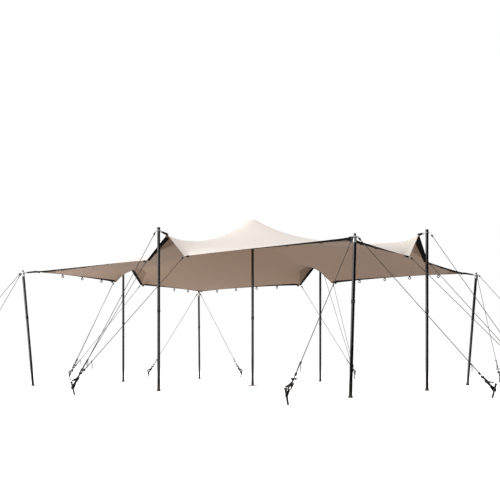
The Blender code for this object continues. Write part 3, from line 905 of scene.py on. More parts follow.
    def settle(self) -> np.ndarray:
        """Balance every knot, column by column, and return columns, rows and places."""
        columns, rows = len(self.x_lines), len(self.y_lines)
        along_x = self.densities(self.x_lines, self.y_lines, self.ridge_tension_x)
        along_y = self.densities(self.y_lines, self.x_lines, self.ridge_tension_y).T
        held = self.held()
        fixed = np.zeros((columns, rows), bool)
        target = np.zeros((columns, rows, 3))
        for spot, place in held.items():
            fixed[spot] = True
            target[spot] = place
        carried, answers = [], []
        for i in range(columns):
            east = along_x[i] if i < columns - 1 else np.zeros(rows)
            west = along_x[i - 1] if i else np.zeros(rows)
            north = np.append(along_y[i], 0.0)
            south = np.insert(along_y[i], 0, 0.0)
            block = np.diag(east + west + north + south) - np.diag(north[:-1], 1) - np.diag(south[1:], -1)
            free = ~fixed[i]
            block[fixed[i]] = 0.0
            block[fixed[i], fixed[i].nonzero()[0]] = 1.0
            east, west = east * free, west * free
            right = np.where(fixed[i][:, None], target[i], 0.0)
            if i:
                block -= west[:, None] * carried[-1]
                right = right + west[:, None] * answers[-1]
            solved = np.linalg.solve(block, np.hstack((np.diag(east), right)))
            carried.append(solved[:, :rows])
            answers.append(solved[:, rows:])
        places = np.zeros((columns, rows, 3))
        places[-1] = answers[-1]
        for i in range(columns - 2, -1, -1):
            places[i] = answers[i] + carried[i] @ places[i + 1]
        return self.soften(places)

    def facing(self) -> np.ndarray:
        """Upward normals of the net at each knot."""
        along_x = np.gradient(self.places, axis=0)
        along_y = np.gradient(self.places, axis=1)
        normals = np.cross(along_x, along_y)
        return normals / np.linalg.norm(normals, axis=2, keepdims=True)

    def point(self, i: int, j: int, lift: float = 0.0) -> Vector:
        """A knot's place, lifted along its normal."""
        return Vector(self.places[i, j] + self.normals[i, j] * lift)

    def locate(self, x: float, y: float, lift: float = 0.0) -> Vector:
        """The place of a point of the cut, between its four knots, lifted along its normal."""
        i = int(np.clip(np.searchsorted(self.x_lines, x) - 1, 0, len(self.x_lines) - 2))
        j = int(np.clip(np.searchsorted(self.y_lines, y) - 1, 0, len(self.y_lines) - 2))
        s = (x - self.x_lines[i]) / (self.x_lines[i + 1] - self.x_lines[i])
        t = (y - self.y_lines[j]) / (self.y_lines[j + 1] - self.y_lines[j])
        near = self.point(i, j, lift).lerp(self.point(i + 1, j, lift), s)
        far = self.point(i, j + 1, lift).lerp(self.point(i + 1, j + 1, lift), s)
        return near.lerp(far, t)

    def rim(self) -> list[tuple[int, int]]:
        """Columns and rows of the knots along the edge, round the tent."""
        last_i, last_j = len(self.x_lines) - 1, len(self.y_lines) - 1
        walk = [(i, 0) for i in range(last_i)]
        walk += [(last_i, j) for j in range(last_j)]
        walk += [(i, last_j) for i in range(last_i, 0, -1)]
        return walk + [(0, j) for j in range(last_j, 0, -1)]

    def inside(self, i: int, j: int, lines_in: int) -> tuple[int, int]:
        """The knot that lies a number of lines in from a knot of the edge."""
        last_i, last_j = len(self.x_lines) - 1, len(self.y_lines) - 1
        return (
            min(max(i, lines_in), last_i - lines_in),
            min(max(j, lines_in), last_j - lines_in),
        )


@dataclass
class Canopy:
    """The cloth with its patches, hem, and the loops along the hem."""

    net: Net
    thickness: float = 0.0025
    gap: float = 0.0004
    tape_thickness: float = 0.0032
    tape_lines: int = 3
    tape_rows: int = 5
    gable_extra: float = 0.065
    patch_thickness: float = 0.0012
    gable_patch: tuple[float, float] = (0.30, 0.46)
    corner_patch: float = 0.62
    hem_dip: float = 0.026
    hem_dip_reach: float = 0.55
    fold_height: float = 0.007
    fold_reach: float = 0.55
    tab_from: float = 0.14
    tab_length: float = 0.060
    tab_thickness: float = 0.012
    tab_height: float = 0.040
    loop_tab: float = 0.024
    loop_tab_width: float = 0.040
    loop_radius: float = 0.030
    loop_wire: float = 0.010
    flat_wire: float = 0.0035
    loop_first_x: float = 1.36
    loop_step_x: float = 0.76
    loop_shift_x: float = 0.07
    loop_first_y: float = 1.165
    loop_step_y: float = 0.70
    loop_shift_y: float = 0.06

    def crumple(self) -> None:
        """Raise the soft folds that run out of the corners and gables."""
        net = self.net
        x, y = np.meshgrid(net.x_lines, net.y_lines, indexing="ij")
        reach_x, reach_y = net.x_lines[-1], net.y_lines[-1]
        from_hem = np.minimum(reach_x - np.abs(x), reach_y - np.abs(y))
        calm = np.clip(from_hem / 0.22, 0.0, 1.0)
        calm = calm * calm * (3.0 - 2.0 * calm)
        lift = np.zeros_like(x)
        centres = [(sx * reach_x, sy * reach_y, 9.0) for sx, sy in CORNERS.values()]
        centres += [(sx * reach_x, sy * reach_y, 7.0) for sx, sy in SIDES.values()]
        for number, (cx, cy, folds) in enumerate(centres):
            away_x, away_y = x - cx, y - cy
            distance = np.hypot(away_x, away_y)
            turn = np.arctan2(away_y, away_x)
            ripple = np.cos(folds * turn + 1.7 * number) + 0.5 * np.cos((folds + 5.0) * turn + 0.9 * number)
            lift += ripple * np.exp(-distance / self.fold_reach) * np.clip(distance / 0.12, 0.0, 1.0)
        net.places += net.normals * (lift * calm * self.fold_height)[:, :, None]
        net.places[:, :, 2] -= self.dip(x, y)
        net.normals = net.facing()

    def dip(self, x: np.ndarray, y: np.ndarray) -> np.ndarray:
        """How far the cloth sinks just inside the taut webbing, most of all beside a corner."""
        net = self.net
        sunk = []
        for out, along, reach_out, reach_along in (
            (np.abs(x), np.abs(y), net.x_lines[-1], net.y_lines[-1]),
            (np.abs(y), np.abs(x), net.y_lines[-1], net.x_lines[-1]),
        ):
            share = np.clip((along - net.gable_half_width) / (reach_along - net.gable_half_width), 0.0, 1.0)
            inward = reach_out - out
            falling = np.clip(np.minimum(inward, reach_along - along) / net.hem_width, 0.0, 1.0)
            fading = np.clip(1.0 - (inward - net.hem_width) / self.hem_dip_reach, 0.0, 1.0)
            sunk.append(share * falling * fading * fading)
        return self.hem_dip * np.maximum(*sunk)

    def cloth(self) -> bpy.types.Object:
        """The cloth, cream outside and taupe inside, as one closed sheet; the darker taupe inside is painted shade.
        """
        net = self.net
        form = Form()
        form.number(CREAM)
        form.number(TAUPE_PAINTED_SHADE)

        def chart(i: int, j: int) -> tuple[float, float]:
            return float(net.x_lines[i]), float(net.y_lines[j])

        form.skin(
            len(net.x_lines) - 1, len(net.y_lines) - 1, lambda i, j: net.point(i, j), chart, CREAM, closed=False
        )
        piece = form.finished("canopy_cloth", Slot.CANOPY, ["canopy"], crease=1.2)
        solid = piece.modifiers.new("thickness", "SOLIDIFY")
        solid.thickness = self.thickness
        solid.offset = -1.0
        solid.material_offset = 1
        return piece

    def hem(self) -> bpy.types.Object:
        """Webbing under the edge, with folded tabs beside each corner."""
        net = self.net
        rim = [(net.x_lines[i], net.y_lines[j]) for i, j in net.rim()]
        rows = self.tape_rows
        under = -self.thickness - self.gap
        places = [net.locate(*corner) for corner in rim]
        lengths = [0.0]
        for first, second in zip(places, places[1:] + places[:1]):
            lengths.append(lengths[-1] + (second - first).length)
        form = Form()

        def inwards(i: int, j: int) -> float:
            x, y = rim[i % len(rim)]
            off_middle = abs(y) if abs(x) == net.x_lines[-1] else abs(x)
            extra = self.gable_extra * max(0.0, 1.0 - off_middle / net.gable_half_width)
            return (net.hem_width + extra) * (rows - j) / rows

        def spot(i: int, j: int) -> Vector:
            x, y = rim[i % len(rim)]
            far = inwards(i, j)
            limit_x, limit_y = net.x_lines[-1] - far, net.y_lines[-1] - far
            return net.locate(float(np.clip(x, -limit_x, limit_x)), float(np.clip(y, -limit_y, limit_y)), under)

        form.skin(len(rim), rows, spot, lambda i, j: (lengths[i], inwards(i, j)), WEBBING, sealed=False)
        bmesh.ops.recalc_face_normals(form.shape, faces=form.shape.faces)
        if sum(face.normal.z * face.calc_area() for face in form.shape.faces) > 0.0:
            bmesh.ops.reverse_faces(form.shape, faces=form.shape.faces)
        bmesh.ops.solidify(form.shape, geom=form.shape.faces, thickness=-self.tape_thickness)
        self.tabs(form)
        return form.finished("hem_tape", Slot.WEBBING, ["hem_webbing"], crease=0.9)

    def tabs(self, form: Form) -> None:
        """Folded tabs of webbing beside each corner, and on the straight hem beside each gable."""
        net = self.net
        reach_x, reach_y = net.x_lines[-1], net.y_lines[-1]
        beside = net.gable_half_width + self.tab_length
        spots = []
        for sx, sy in CORNERS.values():
            spots.append(((sx * reach_x, sy * reach_y), (-sx * self.tab_from, 0.0)))
            spots.append(((sx * reach_x, sy * reach_y), (0.0, -sy * self.tab_from)))
            spots.append(((sx * beside, sy * reach_y), (sx * self.tab_length, 0.0)))
            spots.append(((sx * reach_x, sy * beside), (0.0, sy * self.tab_length)))
        for (x, y), (step_x, step_y) in spots:
            start = net.locate(x, y)
            along = net.locate(x + step_x, y + step_y) - start
            middle = start + along * 0.5 - UP * (self.tab_height / 2.0 - self.thickness)
            turn = aim(UP) @ Matrix.Rotation(math.atan2(along.y, along.x), 4, "Z")
            size = (self.tab_length, self.tab_thickness, self.tab_height)
            form.block(size, TAPE, Matrix.Translation(middle) @ turn, self.tab_thickness * 0.3)

    def patches(self) -> bpy.types.Object:
        """Doubled cloth under each gable's tip and each corner, in a darker colour that is painted shade."""
        net = self.net
        reach_x, reach_y = net.x_lines[-1], net.y_lines[-1]
        form = Form()
        half, deep = net.gable_half_width, self.gable_patch[1]
        slant = (deep, half - self.gable_patch[0])
        for sx, sy in SIDES.values():
            cuts = [((half, 0.0), slant), ((-half, 0.0), (-slant[0], slant[1]))]

            def from_tip(u: float, v: float, sx: int = sx, sy: int = sy) -> tuple[float, float]:
                return (u, sy * (reach_y - v)) if sy else (sx * (reach_x - v), u)

            self.doubled(form, ((-half, half), (0.0, deep)), cuts, from_tip, (18, 10))
        side = self.corner_patch
        for sx, sy in CORNERS.values():

            def from_corner(u: float, v: float, sx: int = sx, sy: int = sy) -> tuple[float, float]:
                return sx * (reach_x - u), sy * (reach_y - v)

            self.doubled(form, ((0.0, side), (0.0, side)), [((side, 0.0), (1.0, 1.0))], from_corner, (12, 12))
        return form.finished("doubled_patches", Slot.CANOPY, crease=1.2)

    def doubled(
        self,
        form: Form,
        area: tuple[tuple[float, float], tuple[float, float]],
        cuts: Sequence[tuple[tuple[float, float], tuple[float, float]]],
        on_cut: Callable[[float, float], tuple[float, float]],
        cells: tuple[int, int],
    ) -> None:
        """Lay a piece of cloth under the canopy.

        Args:
            form: What it becomes part of.
            area: Its ranges across and inwards, in metres of the cut.
            cuts: Points and outward directions of the straight cuts that trim it.
            on_cut: Turns its own coordinates into those of the canopy's cut.
            cells: Cells across and inwards.
        """
        part = bmesh.new()
        (low_u, high_u), (low_v, high_v) = area
        bmesh.ops.create_grid(part, x_segments=cells[0], y_segments=cells[1], size=0.5)
        bmesh.ops.scale(part, vec=(high_u - low_u, high_v - low_v, 1.0), verts=part.verts)
        middle = ((low_u + high_u) / 2.0, (low_v + high_v) / 2.0, 0.0)
        bmesh.ops.translate(part, vec=middle, verts=part.verts)
        for point, outward in cuts:
            geometry = part.verts[:] + part.edges[:] + part.faces[:]
            bmesh.ops.bisect_plane(
                part, geom=geometry, plane_co=(*point, 0.0), plane_no=(*outward, 0.0), clear_outer=True
            )
        uv = part.loops.layers.uv.verify()
        charts = {vertex: on_cut(vertex.co.x, vertex.co.y) for vertex in part.verts}
        for face in part.faces:
            for loop in face.loops:
                loop[uv].uv = charts[loop.vert]
        under = -self.thickness - self.gap / 2.0
        for vertex, chart in charts.items():
            vertex.co = self.net.locate(*chart, under)
        part.normal_update()
        if sum(face.normal.z * face.calc_area() for face in part.faces) > 0.0:
            bmesh.ops.reverse_faces(part, faces=part.faces)
        bmesh.ops.solidify(part, geom=part.faces, thickness=-self.patch_thickness)
        form.take(part, PATCH_PAINTED_SHADE)

    def at_edge(self, x: float, y: float) -> tuple[Vector, Vector]:
        """A point of the rim near a place in the cut, and the way out from it."""
        net = self.net
        i = int(np.abs(net.x_lines - x).argmin())
        j = int(np.abs(net.y_lines - y).argmin())
        place = net.point(i, j, -self.thickness)
        inner = net.point(*net.inside(i, j, self.tape_lines))
        return place, (place - inner).normalized()

    def loop_places(self) -> list[tuple[float, float, bool]]:
        """Where loops are sewn along the hems, and whether they hang free."""
        net = self.net
        reach_x, reach_y = net.x_lines[-1], net.y_lines[-1]
        found = []
        for name, (sx, sy) in SIDES.items():
            hangs = name in ("back", "left")
            first, step, shift, count = (
                (self.loop_first_x, self.loop_step_x, self.loop_shift_x, 4)
                if sy
                else (self.loop_first_y, self.loop_step_y, self.loop_shift_y, 3)
            )
            for way in (-1, 1):
                for k in range(count):
                    along = way * (first + step * k) + shift
                    found.append((along, sy * reach_y, hangs) if sy else (sx * reach_x, along, hangs))
        return found

    def loop_model(self, wire: float, tab_thickness: float) -> Form:
        """One loop that hangs along -Z: its tab, the eye that it goes through, and the ring."""
        model = Form()
        drop = self.loop_tab
        model.swept(
            flat_section(self.loop_tab_width, tab_thickness),
            [Vector((0.0, 0.0, 0.006 - (drop + 0.006) * k / 4.0)) for k in range(5)],
            TAPE,
            level=Vector((0.0, 1.0, 0.0)),
        )
        eye = Matrix.Translation((0.0, 0.0, -drop)) @ Matrix.Rotation(math.pi / 2.0, 4, "Y")
        core = wire * 0.9
        model.turned(
            [
                (0.0, 0.018),
                (core - 0.002, 0.018),
                (core, 0.014),
                (core, -0.014),
                (core - 0.002, -0.018),
                (0.0, -0.018),
            ],
            RUBBER, eye, 12,
        )
        upright = Matrix.Translation((0.0, 0.0, -drop - self.loop_radius + 0.003))
        model.ring(self.loop_radius, wire, RUBBER, upright @ Matrix.Rotation(math.pi / 2.0, 4, "X"), 24)
        return model

    def loops(self) -> bpy.types.Object:
        """Ring loops sewn to the underside of the hem."""
        hanging = self.loop_model(self.loop_wire, 0.005)
        flat = self.loop_model(self.flat_wire, 0.003)
        form = Form()
        for x, y, hangs in self.loop_places():
            place, out = self.at_edge(x, y)
            level = Vector((out.x, out.y, 0.0)).normalized()
            down = -UP if hangs else -out
            back = level if hangs else UP
            across = back.cross(-down).normalized()
            turn = Matrix((across, (-down).cross(across), -down)).transposed().to_4x4()
            start = place - out * (0.02 if hangs else 0.05) - UP * 0.004
            form.copy_of(hanging if hangs else flat, Matrix.Translation(start) @ turn)
        hanging.shape.free()
        flat.shape.free()
        return form.finished("hem_loops", Slot.WEBBING)

    def build(self) -> bpy.types.Object:
        """Make every part of the canopy.

        Returns:
            The cloth.
        """
        self.crumple()
        cloth = self.cloth()
        hem, patches, loops = self.hem(), self.patches(), self.loops()
        net = self.net
        LOG.info("canopy from %.3f to %.3f m", net.places[:, :, 2].min(), net.places[:, :, 2].max())
        return cloth


# Poles


@dataclass
class PoleSizes:
    """Sizes that the poles share."""

    tube: float = 0.032
    lower_tube: float = 0.0305
    collar: float = 0.0365
    collar_height: float = 0.07
    collar_middle: float = 1.72
    foot: float = 0.042
    foot_height: float = 0.05


@dataclass
class Pole:
    """An outer pole: tube in two sections, collar, foot and head."""

    name: str
    foot: Vector
    head: Vector
    sizes: PoleSizes = field(default_factory=PoleSizes)
    cap_height: float = 0.03
    cap_radius: float = 0.0345
    corner_cap_height: float = 0.045
    corner_cap_radius: float = 0.021
    sleeve_radius: float = 0.036
    sleeve_height: float = 0.115

    @property
    def at_corner(self) -> bool:
        """Whether it is a corner pole, which leans and has a steel sleeve."""
        return self.name in CORNERS

    @property
    def axis(self) -> Vector:
        """From the foot to the head."""
        return (self.head - self.foot).normalized()

    @property
    def length(self) -> float:
        """Along the axis."""
        return (self.head - self.foot).length

    def body(self, form: Form, place: Matrix, top: float) -> None:
        """Tubes, collar with its spring button, and foot."""
        size = self.sizes
        low = size.collar_middle - size.collar_height / 2.0
        high = size.collar_middle + size.collar_height / 2.0
        lift = 0.012
        form.turned(
            [(0.0, top), (size.tube - 0.001, top), (size.tube, top - 0.001), (size.tube, low + 0.01), (0.0, low + 0.01)],
            TUBE, place, 40,
        )
        form.turned(
            [(0.0, low + 0.009), (size.lower_tube, low + 0.009), (size.lower_tube, lift), (0.0, lift)],
            TUBE, place, 40,
        )
        rim = 0.004
        form.turned(
            [
                (size.lower_tube, low),
                (size.collar - rim, low),
                (size.collar, low + rim),
                (size.collar, high - rim),
                (size.collar - rim, high),
                (size.tube, high),
            ],
            PLASTIC, place, 40,
        )
        button = place @ Matrix.Translation((0.0, -size.collar, size.collar_middle)) @ Matrix.Rotation(math.pi / 2.0, 4, "X")
        form.turned([(0.0, 0.004), (0.005, 0.003), (0.006, 0.0), (0.006, -0.004)], STEEL, button, 16)
        self.shoe(form, place)

    def shoe(self, form: Form, place: Matrix) -> None:
        """A rubber foot that stands flat on the ground."""
        size = self.sizes
        part = bmesh.new()
        part.loops.layers.uv.verify()
        carrier = Form()
        ribs = [(size.foot, 0.010), (size.foot - 0.002, 0.013), (size.foot, 0.016)]
        outline = [
            (0.0, size.foot_height),
            (size.tube + 0.001, size.foot_height),
            (size.tube + 0.004, size.foot_height - 0.004),
            (size.foot - 0.001, size.foot_height * 0.55),
            *reversed(ribs),
            (size.foot, -0.01),
            (0.0, -0.01),
        ]
        carrier.turned(outline, RUBBER, place, 40)
        part.from_mesh(self.trimmed(carrier))
        form.take(part, RUBBER)

    @staticmethod
    def trimmed(carrier: Form) -> bpy.types.Mesh:
        """A form cut level at the ground, as a mesh."""
        shape = carrier.shape
        geometry = shape.verts[:] + shape.edges[:] + shape.faces[:]
        bmesh.ops.bisect_plane(shape, geom=geometry, plane_co=(0.0, 0.0, 0.0), plane_no=(0.0, 0.0, -1.0), clear_outer=True)
        bmesh.ops.holes_fill(shape, edges=[edge for edge in shape.edges if edge.is_boundary], sides=0)
        mesh = bpy.data.meshes.new("trimmed")
        shape.to_mesh(mesh)
        shape.free()
        return mesh

    def build(self) -> bpy.types.Object:
        """Make the pole.

        Returns:
            The piece.
        """
        form = Form()
        place = placed(self.foot, self.axis)
        length = self.length
        if self.at_corner:
            sleeve_top = length - self.corner_cap_height
            sleeve_end = sleeve_top - self.sleeve_height
            self.body(form, place, sleeve_end + 0.004)
            radius = self.sleeve_radius
            form.turned(
                [
                    (0.0, sleeve_top),
                    (radius - 0.006, sleeve_top),
                    (radius, sleeve_top - 0.006),
                    (radius, sleeve_top - 0.030),
                    (radius - 0.002, sleeve_top - 0.033),
                    (radius - 0.002, sleeve_end + 0.012),
                    (radius, sleeve_end + 0.009),
                    (radius, sleeve_end),
                    (0.0, sleeve_end),
                ],
                STEEL, place, 40,
            )
            cap = self.corner_cap_radius
            low = sleeve_top + 0.0005
        else:
            low = length - self.cap_height
            self.body(form, place, low)
            cap = self.cap_radius
        form.turned(
            [
                (0.0, length),
                (cap * 0.55, length - 0.001),
                (cap * 0.85, length - 0.005),
                (cap, length - 0.012),
                (cap, low + 0.002),
                (cap - 0.002, low),
                (0.0, low),
            ],
            PLASTIC, place, 36,
        )
        kind = "corner" if self.at_corner else "side"
        return form.finished(f"pole_{self.name}_dressed", Slot.POLE, [f"pole_{kind}_{self.name}"])


@dataclass
class CentrePole:
    """The pole under the peak, with a domed head and a base plate."""

    net: Net
    sizes: PoleSizes = field(default_factory=PoleSizes)
    plate_radius: float = 0.11
    plate_height: float = 0.008
    clearance: float = 0.010
    radius: float = 0.14
    rim: float = 0.03
    neck_radius: float = 0.045
    neck_drop: float = 0.05
    neck_length: float = 0.08

    def build(self) -> bpy.types.Object:
        """Make the pole.

        Returns:
            The piece.
        """
        net, size = self.net, self.sizes
        form = Form()
        fall = net.dome_drop / net.dome_radius ** 2
        top = net.peak_height - self.clearance
        steps = 10
        dome = []
        for k in range(steps + 1):
            radius = self.radius * k / steps
            dome.append((radius, top - fall * radius ** 2))
        low = dome[-1][1] - self.rim
        neck = low - self.neck_drop
        form.turned(
            dome + [
                (self.radius + 0.002, dome[-1][1] - 0.004),
                (self.radius + 0.002, low + 0.003),
                (self.radius - 0.002, low),
                (self.neck_radius + 0.02, low - 0.004),
                (self.neck_radius, neck),
                (self.neck_radius, neck - self.neck_length),
                (0.0, neck - self.neck_length),
            ],
            PLASTIC, None, 48,
        )
        for k in range(3):
            rib = Matrix.Rotation(math.pi * k / 3.0, 4, "Z") @ Matrix.Translation((0.0, 0.0, low - 0.018))
            form.block((self.radius * 1.7, 0.006, 0.03), PLASTIC, rib, 0.0015)
        collar_low = size.collar_middle - size.collar_height / 2.0
        collar_high = collar_low + size.collar_height
        form.turned(
            [(0.0, neck - self.neck_length), (size.tube, neck - self.neck_length), (size.tube, collar_low), (0.0, collar_low)],
            TUBE, None, 40,
        )
        form.turned(
            [(0.0, collar_low), (size.lower_tube, collar_low), (size.lower_tube, self.plate_height), (0.0, self.plate_height)],
            TUBE, None, 40,
        )
        rim = 0.004
        form.turned(
            [
                (size.lower_tube, collar_low),
                (size.collar - rim, collar_low),
                (size.collar, collar_low + rim),
                (size.collar, collar_high - rim),
                (size.collar - rim, collar_high),
                (size.tube, collar_high),
            ],
            PLASTIC, None, 40,
        )
        plate = self.plate_radius
        form.turned(
            [
                (0.0, self.plate_height),
                (plate - 0.003, self.plate_height),
                (plate, self.plate_height - 0.003),
                (plate, 0.0),
                (0.0, 0.0),
            ],
            FORGED, None, 56,
        )
        form.turned(
            [
                (size.lower_tube, size.foot_height),
                (size.lower_tube + 0.006, size.foot_height),
                (size.lower_tube + 0.007, size.foot_height - 0.002),
                (size.lower_tube + 0.007, self.plate_height + 0.006),
                (size.lower_tube + 0.013, self.plate_height),
            ],
            FORGED, None, 40,
        )
        for k in range(4):
            spot = Matrix.Rotation(math.pi * (0.25 + 0.5 * k), 4, "Z") @ Matrix.Translation((plate * 0.76, 0.0, self.plate_height))
            form.turned([(0.0, 0.004), (0.006, 0.004), (0.0075, 0.0), (0.0, 0.0)], STEEL, spot, 6)
        return form.finished("pole_centre_tube", Slot.POLE, ["pole_centre"])


# Links, ropes and anchors


@dataclass
class Link:
    """What joins a pole's head to the tip of the cloth."""

    name: str
    centre: Vector
    axis: Vector
    tip: Vector
    held: float
    finger_width: float
    wire: float = 0.0055
    shackle_length: float = 0.055
    finger_tip: float = 0.036
    finger_thickness: float = 0.014
    finger_fall: float = 0.012

    def build(self) -> bpy.types.Object:
        """Make the ring, shackle and webbing finger.

        Returns:
            The piece.
        """
        form = Form()
        place = placed(self.centre, self.axis)
        outer = self.held + 0.018
        form.turned(
            [
                (self.held + 0.001, 0.005),
                (outer - 0.002, 0.005),
                (outer, 0.003),
                (outer, -0.003),
                (outer - 0.002, -0.005),
                (self.held + 0.001, -0.005),
                (self.held + 0.001, 0.005),
            ],
            STEEL, place, 44,
        )
        towards = (self.tip - self.centre).normalized()
        reach = (self.tip - self.centre).length
        start = outer + 0.004
        middle = self.centre + towards * (start + self.shackle_length * 0.32)
        across = towards.cross(self.axis).normalized()
        turn = Matrix((towards, self.axis, across)).transposed().to_4x4()
        form.ring(self.shackle_length * 0.27, self.wire, STEEL, Matrix.Translation(middle) @ turn, 24, 1.75)
        near = start + self.shackle_length * 0.55
        steps = 8
        path = [self.centre + towards * (near + (reach + 0.03 - near) * k / steps) for k in range(steps + 1)]
        path = [point - UP * (self.finger_fall * (k / steps) ** 2) for k, point in enumerate(path)]
        self.finger(form, path)
        bar = Matrix.Translation(self.centre + towards * (near + 0.004)) @ aim(across)
        form.turned([(0.0, 0.024), (0.005, 0.024), (0.005, -0.024), (0.0, -0.024)], STEEL, bar, 12)
        return form.finished(f"link_{self.name}_dressed", Slot.LINK, [f"link_{self.name}"])

    def finger(self, form: Form, path: list[Vector]) -> None:
        """A webbing strap that widens from the shackle to the cloth."""
        steps = len(path) - 1
        along = (path[-1] - path[0]).normalized()
        across = along.cross(UP).normalized()
        lift = across.cross(along)
        sides = 6

        def spot(i: int, j: int) -> Vector:
            width = self.finger_tip + (self.finger_width - self.finger_tip) * j / steps
            x, y = flat_section(width, self.finger_thickness)[i % sides]
            return path[j] + lift * x + across * y

        def chart(i: int, j: int) -> tuple[float, float]:
            width = self.finger_tip + (self.finger_width - self.finger_tip) * j / steps
            x = flat_section(width, self.finger_thickness)[i % sides][0]
            return (path[j] - path[0]).length, x + width / 2.0

        form.skin(sides, steps, spot, chart, TAPE)


@dataclass
class Guy:
    """A taut rope with its upper shackle and knot, and the knots at its lower end."""

    name: str
    upper: Vector
    lower: Vector
    at_pole: bool
    link_length: float = 0.060
    radius: float = 0.006
    knot_length: float = 0.045
    knot_girth: float = 2.2
    lower_knot: float = 0.10
    slider: float = 0.30
    tail: float = 0.13

    def build(self) -> bpy.types.Object:
        """Make the rope.

        Returns:
            The piece.
        """
        form = Form()
        run = self.lower - self.upper
        length = run.length
        place = placed(self.upper, run)
        start = self.link_length if self.at_pole else 0.030
        section = round_section(self.radius, 10)
        cells = 24
        ends = (start, length - 0.004)
        points = [Vector((0.0, 0.0, ends[0] + (ends[1] - ends[0]) * k / cells)) for k in range(cells + 1)]
        form.swept(section, points, ROPE, place, level=Vector((0.0, 1.0, 0.0)))
        upright = Matrix.Rotation(math.pi / 2.0, 4, "Y")
        if self.at_pole:
            spot = place @ Matrix.Translation((0.0, 0.0, start * 0.47)) @ upright
            form.ring(0.013, 0.004, STEEL, spot, 20, 2.1)
        else:
            spot = place @ Matrix.Translation((0.0, 0.0, 0.014)) @ upright
            form.ring(0.013, 0.004, STEEL, spot, 20, 1.2)
        self.knot(form, place, start + 0.012, 3)
        self.doubled(form, place, start, start + 0.14, 1.0)
        low = length - self.lower_knot
        self.knot(form, place, low, 4)
        self.doubled(form, place, length - self.slider, length - 0.004, -1.0)
        middle = place @ Matrix.Translation((0.0, 0.0, length - self.slider))
        form.block((0.034, 0.016, 0.042), PLASTIC, middle, 0.005)
        self.loose_end(form, place @ Vector((-self.radius * 1.8, 0.0, length - self.slider)))
        return form.finished(f"{self.name}_braided", Slot.ROPE, [self.name])

    def knot(self, form: Form, place: Matrix, at: float, turns: int) -> None:
        """Turns of rope wound round the rope itself."""
        coil = []
        for k in range(turns * 10 + 1):
            angle = 2.0 * math.pi * k / 10.0
            coil.append(Vector((
                self.radius * self.knot_girth * math.cos(angle),
                self.radius * self.knot_girth * math.sin(angle),
                at + self.knot_length * k / (turns * 10.0),
            )))
        form.swept(round_section(self.radius * self.knot_girth * 0.55, 8), coil, ROPE, place, level=Vector((0.0, 0.0, 1.0)))

    def doubled(self, form: Form, place: Matrix, low: float, high: float, side: float) -> None:
        """The rope's own end, laid back along it."""
        off = self.radius * 1.9 * side
        points = [
            Vector((off * math.sin(math.pi * min(1.0, 0.15 + k / 5.0)) * 0.3 + off * 0.7, 0.0, low + (high - low) * k / 8.0))
            for k in range(9)
        ]
        form.swept(round_section(self.radius * 0.92, 8), points, ROPE, place, level=Vector((0.0, 1.0, 0.0)))

    def loose_end(self, form: Form, start: Vector) -> None:
        """A short tail that hangs from the slider."""
        steps = 7
        path = [
            start + Vector((0.012 * math.sin(2.4 * k / steps), 0.006 * k / steps, -self.tail * k / steps))
            for k in range(steps + 1)
        ]
        form.swept(round_section(self.radius * 0.9, 8), path, ROPE, level=Vector((0.0, 1.0, 0.0)))
        form.turned(
            [(0.0, 0.004), (self.radius * 1.15, 0.003), (self.radius * 1.15, -0.010), (0.0, -0.012)],
            PLASTIC, Matrix.Translation(path[-1]), 12,
        )


